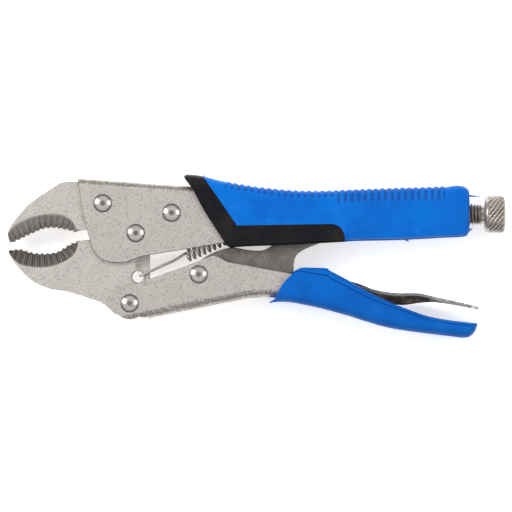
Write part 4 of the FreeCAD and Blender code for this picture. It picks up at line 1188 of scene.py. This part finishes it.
at_flap = (rise(sleeve_x, LEVER_PIN[0] - 4.0, LEVER_PIN[0] + 14.0)
           * (1 - rise(sleeve_x, LEVER_PIN[0] + 18.0, LEVER_PIN[0] + 50.0)))[:, None]
rim_depth = (1.45 + 1.85 * at_flap) * behind_flap + 0.05
rim_depth = np.minimum(rim_depth, (top - foot - rounding) * 0.9)
seam_y = top - rim_depth
side = np.linspace(0.0, 1.0, 14)[None, 1:]
flank_y = foot + rounding + (seam_y - foot - rounding) * side
flank_z = np.broadcast_to(half, flank_y.shape)
LINE_DEPTH = 0.55 * behind_flap
rim_turn = np.linspace(0.0, np.pi / 2, 9)[None]
roll_y = seam_y + 0.3 * behind_flap + (top - seam_y - 0.3 * behind_flap) * np.sin(rim_turn)
roll_in = (half - 6.3) * behind_flap + 0.02
roll_z = half - 0.15 * behind_flap - (roll_in - 0.15 * behind_flap) * (1 - np.cos(rim_turn)) ** 1.3
line_y = np.concatenate([seam_y + 0.02, seam_y + 0.12, seam_y + 0.24], axis=1)
line_y = np.minimum(line_y, roll_y[:, :1])
line_z = np.concatenate([half - LINE_DEPTH, half - LINE_DEPTH, half - 0.15 * behind_flap], axis=1)
web_top = height_on(handle_foot, sleeve_x)[:, None] + 1.0
sheet_top = height_on(handle_top, sleeve_x)[:, None] + 0.1
ended = sleeve_x[:, None] > SLEEVE_REAR - 8.09
inner_edge = roll_z[:, -1:]
inner_z = np.concatenate([np.minimum(inner_edge, 6.3 + 5.0 * (1 - behind_flap)),
                          np.full_like(top, WALL_INSIDE), np.full_like(top, WALL_INSIDE)], axis=1)
inner_y = np.concatenate([np.minimum(sheet_top, top - 0.05), np.minimum(sheet_top - 0.3, top - 0.1),
                          np.minimum(web_top, top - 0.1)], axis=1)
inner_y = np.maximum(inner_y, foot + 0.02)
inner_y = np.where(ended, top, inner_y)
inner_z = np.where(ended, inner_edge * np.array([[1.0, 0.5, 0.0]]), inner_z)
inner_z = np.minimum(inner_z, half)
flare = 0.22 * np.exp(-np.clip(sleeve_x[:, None] - np.interp(
    np.concatenate([corner_y, flank_y], axis=1), sleeve_front[:, 1], sleeve_front[:, 0]),
    0.0, None) / 1.3)
outer_z = np.concatenate([corner_z, flank_z], axis=1) + flare
section_y = np.concatenate([corner_y, flank_y, line_y, roll_y, inner_y], axis=1)
section_z = np.concatenate([outer_z, line_z, roll_z, inner_z], axis=1)
section_y = np.concatenate([section_y, section_y[:, ::-1]], axis=1)
section_z = np.concatenate([section_z, -section_z[:, ::-1]], axis=1)
sleeve = np.stack([np.broadcast_to(sleeve_x[:, None], section_y.shape), section_y, section_z], axis=2)
# The groove layer: the sleeve behind the flap is a little darker all over, and painted shade lies along
# the crease where the roll begins.
groove = 0.30 + 1.0 * (np.abs(section_y - np.broadcast_to(seam_y, section_y.shape) - 0.13) < 0.13)
layers = {"groove": groove * np.broadcast_to(behind_flap, section_y.shape)}
fitted(surface("lower_sleeve_moulding", [sleeve], BLUE, layers), "lower_handle",
       "lower_sleeve")

# %% [markdown]
# ## Release lever
# A strip of steel folded down on both sides, so its section is an upside-down U. Towards the tail
# the flanges run out and only the flat strip is left, which is what a finger lifts.

# %% Lever surface
LEVER_HALF = edge("release_lever", 2, 1)
LEVER_SHEET = 1.5
LEVER_BEND = 1.7
LEVER_TAIL = edge("release_lever", 0, 1)
lever_top = smooth_line([LEVER_PIN + p for p in (
    (-9.2, 0.2), (-7.2, 1.6), (-3.5, 2.8), (5.5, 3.8), (15.5, 2.9), (25.7, 0.5), (32.6, -2.1),
    (38.3, -3.35), (44.0, -3.95), (50.3, -3.85), (54.6, -4.2), (61.1, -5.7), (69.7, -7.6),
    (78.3, -9.6), (80.4, -10.3))], 500)
lever_foot = smooth_line([LEVER_PIN + p for p in (
    (-9.3, -1.2), (-6.5, -3.4), (0.0, -3.6), (17.5, -3.6), (32.5, -7.1), (44.7, -9.3),
    (52.5, -8.5), (57.0, -8.1), (61.1, -8.15), (69.7, -9.4), (78.3, -11.1), (80.4, -11.5))], 500)
lever_x = np.unique(np.round(np.concatenate([
    np.linspace(edge("release_lever", 0, 0), LEVER_TAIL - 2.0, 190),
    LEVER_TAIL - 2.0 + 2.0 * np.sin(np.linspace(0.0, np.pi / 2, 10))]), 4))
top = height_on(lever_top, lever_x)[:, None]
foot = np.minimum(height_on(lever_foot, lever_x)[:, None], top - 1.3)
tail = rise(lever_x, LEVER_TAIL - 24.0, LEVER_TAIL - 12.0)[:, None]
tip = np.clip((lever_x - (LEVER_TAIL - 4.0)) / 4.0, 0.0, 1.0)[:, None]
half = LEVER_HALF * (1 - 0.12 * tail) - 3.4 * (1 - np.sqrt(1 - (0.97 * tip) ** 2))
bend = np.minimum(LEVER_BEND, (top - foot) * 0.45)
turn = np.linspace(0.0, np.pi / 2, 8)[None]
across = np.linspace(1.0, 0.0, 7)[None, 1:]
down_y = np.concatenate([foot, foot + (top - bend - foot) * 0.5], axis=1)
outer_y = np.concatenate([down_y, top - bend * (1 - np.sin(turn)),
                          np.broadcast_to(top, (len(lever_x), 6))], axis=1)
outer_z = np.concatenate([half, half, half - bend * (1 - np.cos(turn)), (half - bend) * across],
                         axis=1)
under = np.maximum(top - LEVER_SHEET, foot + 0.02)
inner_z = np.maximum(half - LEVER_SHEET, 0.1)
inner_y = np.concatenate([under, under, (under + foot) / 2, foot], axis=1)
inner_zs = np.concatenate([np.zeros_like(half), inner_z * 0.9, inner_z, inner_z], axis=1)
section_y = np.concatenate([outer_y, outer_y[:, -2::-1], inner_y[:, ::-1], inner_y[:, 1:]], axis=1)
section_z = np.concatenate([outer_z, -outer_z[:, -2::-1], -inner_zs[:, ::-1], inner_zs[:, 1:]], axis=1)
shell = np.stack([np.broadcast_to(lever_x[:, None], section_y.shape), section_y, section_z], axis=2)
from_top = np.broadcast_to(top, section_y.shape) - section_y
# Pale within a millimetre or so of the back, a painted highlight, and over most of the tail.
rubbed = 1 - rise(from_top, 0.5, 1.5) + np.broadcast_to(tail, section_y.shape) * 0.80
rubbed = np.clip(rubbed, 0, 1) * rise(np.broadcast_to(lever_x[:, None], section_y.shape),
                                     LEVER_PIN[0] + 22.0, LEVER_PIN[0] + 40.0)
lever = surface("release_lever_pressing", [shell], LEVER_STEEL, {"rubbed": rubbed})
soften(lever, 0.2, 50.0)
fitted(lever, "release_lever", "release_lever")

# %% [markdown]
# ## Return spring
# The spring is one wire: a hook through the lower jaw's hole, a long straight leg, ten or so
# turns, and a short leg to the channel's tab. A round tube follows the wire's line.

# %% Spring wire


def tube(path, radius, sides=14):
    """A round tube: at each point of a path, a circle square to the path's own direction."""
    along = np.gradient(path, axis=0)
    along /= np.linalg.norm(along, axis=1, keepdims=True)
    first = TUBE_REFERENCE - np.sum(TUBE_REFERENCE * along, axis=1, keepdims=True) * along
    first /= np.linalg.norm(first, axis=1, keepdims=True)
    second = np.cross(along, first)
    angle = np.linspace(0.0, 2 * np.pi, sides, endpoint=False)[None, :, None]
    radius = np.broadcast_to(np.asarray(radius, float).reshape(-1, 1, 1), (len(path), 1, 1))
    return path[:, None] + radius * (np.cos(angle) * first[:, None] + np.sin(angle) * second[:, None])


WIRE = 0.58
COIL_RADIUS = 3.0
COIL_PITCH = 2.45
anchor = JAW_PIVOT + [49.05, 2.25]
spring_axis = (anchor - SPRING_HOLE) / np.linalg.norm(anchor - SPRING_HOLE)
axis_3d = np.array([*spring_axis, 0.0])
side_3d = np.array([-spring_axis[1], spring_axis[0], 0.0])
up_3d = np.array([0.0, 0.0, 1.0])
TUBE_REFERENCE = (axis_3d + side_3d * 0.8 + up_3d * 0.6) / math.sqrt(2.0)
hole_3d = np.array([*SPRING_HOLE, 0.0])
reach = np.linalg.norm(anchor - SPRING_HOLE)
coil_start, coil_end = 23.6, reach - 3.6
turns = (coil_end - coil_start) / COIL_PITCH
angle = np.linspace(0.0, 2 * np.pi * turns, int(turns * 40))[:, None]
climb = coil_start + (coil_end - coil_start) * angle / angle[-1]
swell = np.minimum(1.0, np.minimum(angle, angle[-1] - angle) / np.pi)
swell = 0.28 + 0.72 * np.sin(swell * np.pi / 2)
coil = hole_3d + axis_3d * climb + COIL_RADIUS * swell * (
    np.cos(angle + 0.6) * side_3d + np.sin(angle + 0.6) * up_3d)
lift = WEB_HALF + WIRE + 0.05
front_leg = smooth_line([hole_3d + axis_3d * along + up_3d * level for along, level in (
    (1.2, -lift - 0.5), (1.25, -lift), (1.5, 0.0), (1.25, lift * 0.75), (1.9, lift + 0.1),
    (4.0, lift + 0.15), (12.0, lift * 0.75), (20.0, lift * 0.45))], 90)
rear_leg = smooth_line([hole_3d + axis_3d * along for along in (
    coil_end + 1.2, reach - 1.4, reach - 0.7)], 10)
wire_path = smooth_line(np.vstack([front_leg[:-4:3], coil[2:-2], rear_leg]), 1500)
spring = surface("return_spring_wire", [tube(wire_path, WIRE)], SPRING_STEEL)
spring.data.set_sharp_from_angle(angle=math.radians(80))
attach(spring, "root")
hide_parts("return_spring")
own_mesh(spring)
print("turns of the spring:", round(turns, 1), "length in millimetres:", round(reach, 1))

# %% [markdown]
# ## Adjusting screw and knob
# The thread is a helix, so its radius depends on the distance along the axis less the share of a
# turn. The knob is the same idea with many starts: its ridges climb round the rim at a slant.

# %% Thread and knurl


def about_screw(x, radius, count):
    """Rows along the screw's axis; radius is given for each row and each angle."""
    angle = np.linspace(0.0, 2 * np.pi, count, endpoint=False)[None]
    y = SCREW_AXIS + radius * np.cos(angle)
    return np.stack([np.broadcast_to(x[:, None], y.shape), y, radius * np.sin(angle)], axis=2)


THREAD_LEAD = 1.5
THREAD_DEPTH = 0.92
THREAD_SIDES = 56
screw_tip, spigot_end = edge("adjusting_screw", 0, 0), edge("adjusting_screw", 0, 1)
thread_crest = edge("adjusting_screw", 2, 1)
thread_end = spigot_end - 8.4
NECK_RADIUS = 4.3
SPIGOT_RADIUS = 3.0
x = np.concatenate([[screw_tip, screw_tip], np.arange(screw_tip, thread_end + 0.05, 0.125),
                    [thread_end + 0.3, thread_end + 1.38, thread_end + 1.4, spigot_end, spigot_end]])
angle = np.linspace(0.0, 2 * np.pi, THREAD_SIDES, endpoint=False)[None]
phase = (x[:, None] / THREAD_LEAD - angle / (2 * np.pi)) % 1.0
wave = np.clip(1.25 * (1 - np.abs(2 * phase - 1)) - 0.1, 0.0, 1.0)
cutting = rise(x, screw_tip + 0.6, screw_tip + 2.0) * (1 - rise(x, thread_end - 0.6, thread_end))
radius = thread_crest - THREAD_DEPTH * (1 - wave) * cutting[:, None]
cone = thread_crest - 1.6 + np.clip(x - screw_tip, 0.0, 1.6)
radius = np.minimum(radius, cone[:, None])
radius[x > thread_end - 0.02] = NECK_RADIUS
radius[x > thread_end + 1.39] = SPIGOT_RADIUS
radius[0] = radius[-1] = 0.0
# Painted shade in the thread's grooves.
valley = np.broadcast_to(1 - wave, radius.shape) * cutting[:, None]
screw = surface("adjusting_screw_rod", [about_screw(x, radius, THREAD_SIDES)], KNOB_NICKEL,
                {"valley": valley})
fitted(screw, "adjusting_screw", "adjusting_screw")

KNOB_RADIUS = edge("screw_knob", 2, 1)
KNOB_FRONT, KNOB_BACK = edge("screw_knob", 0, 0), edge("screw_knob", 0, 1)
KNURL_STARTS = 18
KNURL_DEPTH = 0.60
KNURL_SLOPE = 1.5
KNOB_SIDES = 300
ring_end = KNOB_FRONT + 1.6
x = np.concatenate([[KNOB_FRONT, KNOB_FRONT], np.linspace(KNOB_FRONT, KNOB_BACK, 66),
                    [KNOB_BACK, KNOB_BACK]])
angle = np.linspace(0.0, 2 * np.pi, KNOB_SIDES, endpoint=False)[None]
lead = 2 * np.pi * KNOB_RADIUS
phase = (KNURL_STARTS * (angle / (2 * np.pi) + KNURL_SLOPE * x[:, None] / lead)) % 1.0
ridge = np.sin(np.pi * phase) ** 0.8
cross_phase = (KNURL_STARTS * (angle / (2 * np.pi) - 1.3 * x[:, None] / lead)) % 1.0
ridge = ridge - 0.28 * (1 - np.sin(np.pi * cross_phase)) * ridge
knurled = rise(x, ring_end, ring_end + 0.5) * (1 - rise(x, KNOB_BACK - 1.1, KNOB_BACK - 0.5))
CHAMFER = 1.9
ends = np.minimum(x - KNOB_FRONT, KNOB_BACK - x)
rounded_end = CHAMFER * (1 - np.sqrt(1 - (1 - np.clip(ends / CHAMFER, 0.0, 1.0)) ** 2))
radius = (KNOB_RADIUS - rounded_end)[:, None] - KNURL_DEPTH * (1 - ridge) * knurled[:, None]
radius[:, :] -= 0.35 * (np.abs(x - ring_end) < 0.22)[:, None]
radius[0] = NECK_RADIUS - 0.6
radius[-2] = KNOB_RADIUS - CHAMFER - 1.2
radius[-1] = 0.0
# Painted shade in the knurl's grooves.
valley = (1 - ridge) * knurled[:, None]
knob = surface("screw_knob_knurled", [about_screw(x, radius, KNOB_SIDES)], KNOB_NICKEL,
               {"valley": valley})
fitted(knob, "screw_knob", "screw_knob")

# %% [markdown]
# ## Moulding flash
# Where the two halves of a mould meet, a little plastic squeezes out and is left as thin curls.

# %% Flash curls


def curl(name, points, body, finish, thickness=0.28):
    """A thin tapering strand of plastic along a smooth line."""
    path = smooth_line(points, 24)
    taper = thickness * np.linspace(1.0, 0.25, len(path))
    piece = surface(name, [tube(path, taper, 8)], finish)
    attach(piece, body)
    print(f"{piece.name}: {len(piece.data.polygons)} faces, rides on {body}")


curl("flash_curl_rear_top", [(GRIP_REAR - 0.6, SCREW_AXIS + 8.6, 2.0),
                             (GRIP_REAR + 1.2, SCREW_AXIS + 8.2, 2.3),
                             (GRIP_REAR + 3.4, SCREW_AXIS + 8.05, 2.2),
                             (GRIP_REAR + 5.2, SCREW_AXIS + 7.3, 2.0)],
     "root", BLUE, 0.55)
curl("flash_curl_rear_foot", [(GRIP_REAR - 0.7, SCREW_AXIS - 7.6, 6.0),
                              (GRIP_REAR + 0.4, SCREW_AXIS - 7.0, 6.2),
                              (GRIP_REAR + 1.3, SCREW_AXIS - 6.4, 6.0)],
     "root", BLUE, 0.60)
curl("flash_curl_foot", [(NOSE[0] + 22.2, NOSE[1] - 10.2, 8.3), (NOSE[0] + 23.2, NOSE[1] - 11.0, 8.6),
                         (NOSE[0] + 24.4, NOSE[1] - 11.5, 8.7)],
     "root", BLUE, 0.55)
curl("flash_curl_seam", [(*(REAR_RIVET + [14.9, 16.2]), 0.0),
                         (*(REAR_RIVET + [14.2, 16.9]), 1.0),
                         (*(REAR_RIVET + [13.6, 17.0]), 1.4)],
     "root", BLACK, 0.25)

# %% [markdown]
# ## Finishes on the frame's own pieces
# The lever's pin and the screw's end block are right as they are and only get a finish.

# %% Finish the frame's pieces and lay the floor
for node in ("release_lever_pin", "threaded_end_block"):
    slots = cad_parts[node].material_slots
    slots[0].material = PIN_STEEL

FLOOR_REACH = 6.0
floor_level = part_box("upper_grip")[0][2] - 0.0001
floor_mesh = bpy.data.meshes.new("pale_floor")
corners = np.array([(-1, -1), (1, -1), (1, 1), (-1, 1)]) * FLOOR_REACH
floor_mesh.from_pydata(np.column_stack([corners, np.full(4, floor_level)]), [], [(0, 1, 2, 3)])
floor_mesh.materials.append(floor_paint())
floor = bpy.data.objects.new("pale_floor", floor_mesh)
scene.collection.objects.link(floor)
print("floor level in metres:", round(floor_level, 5))
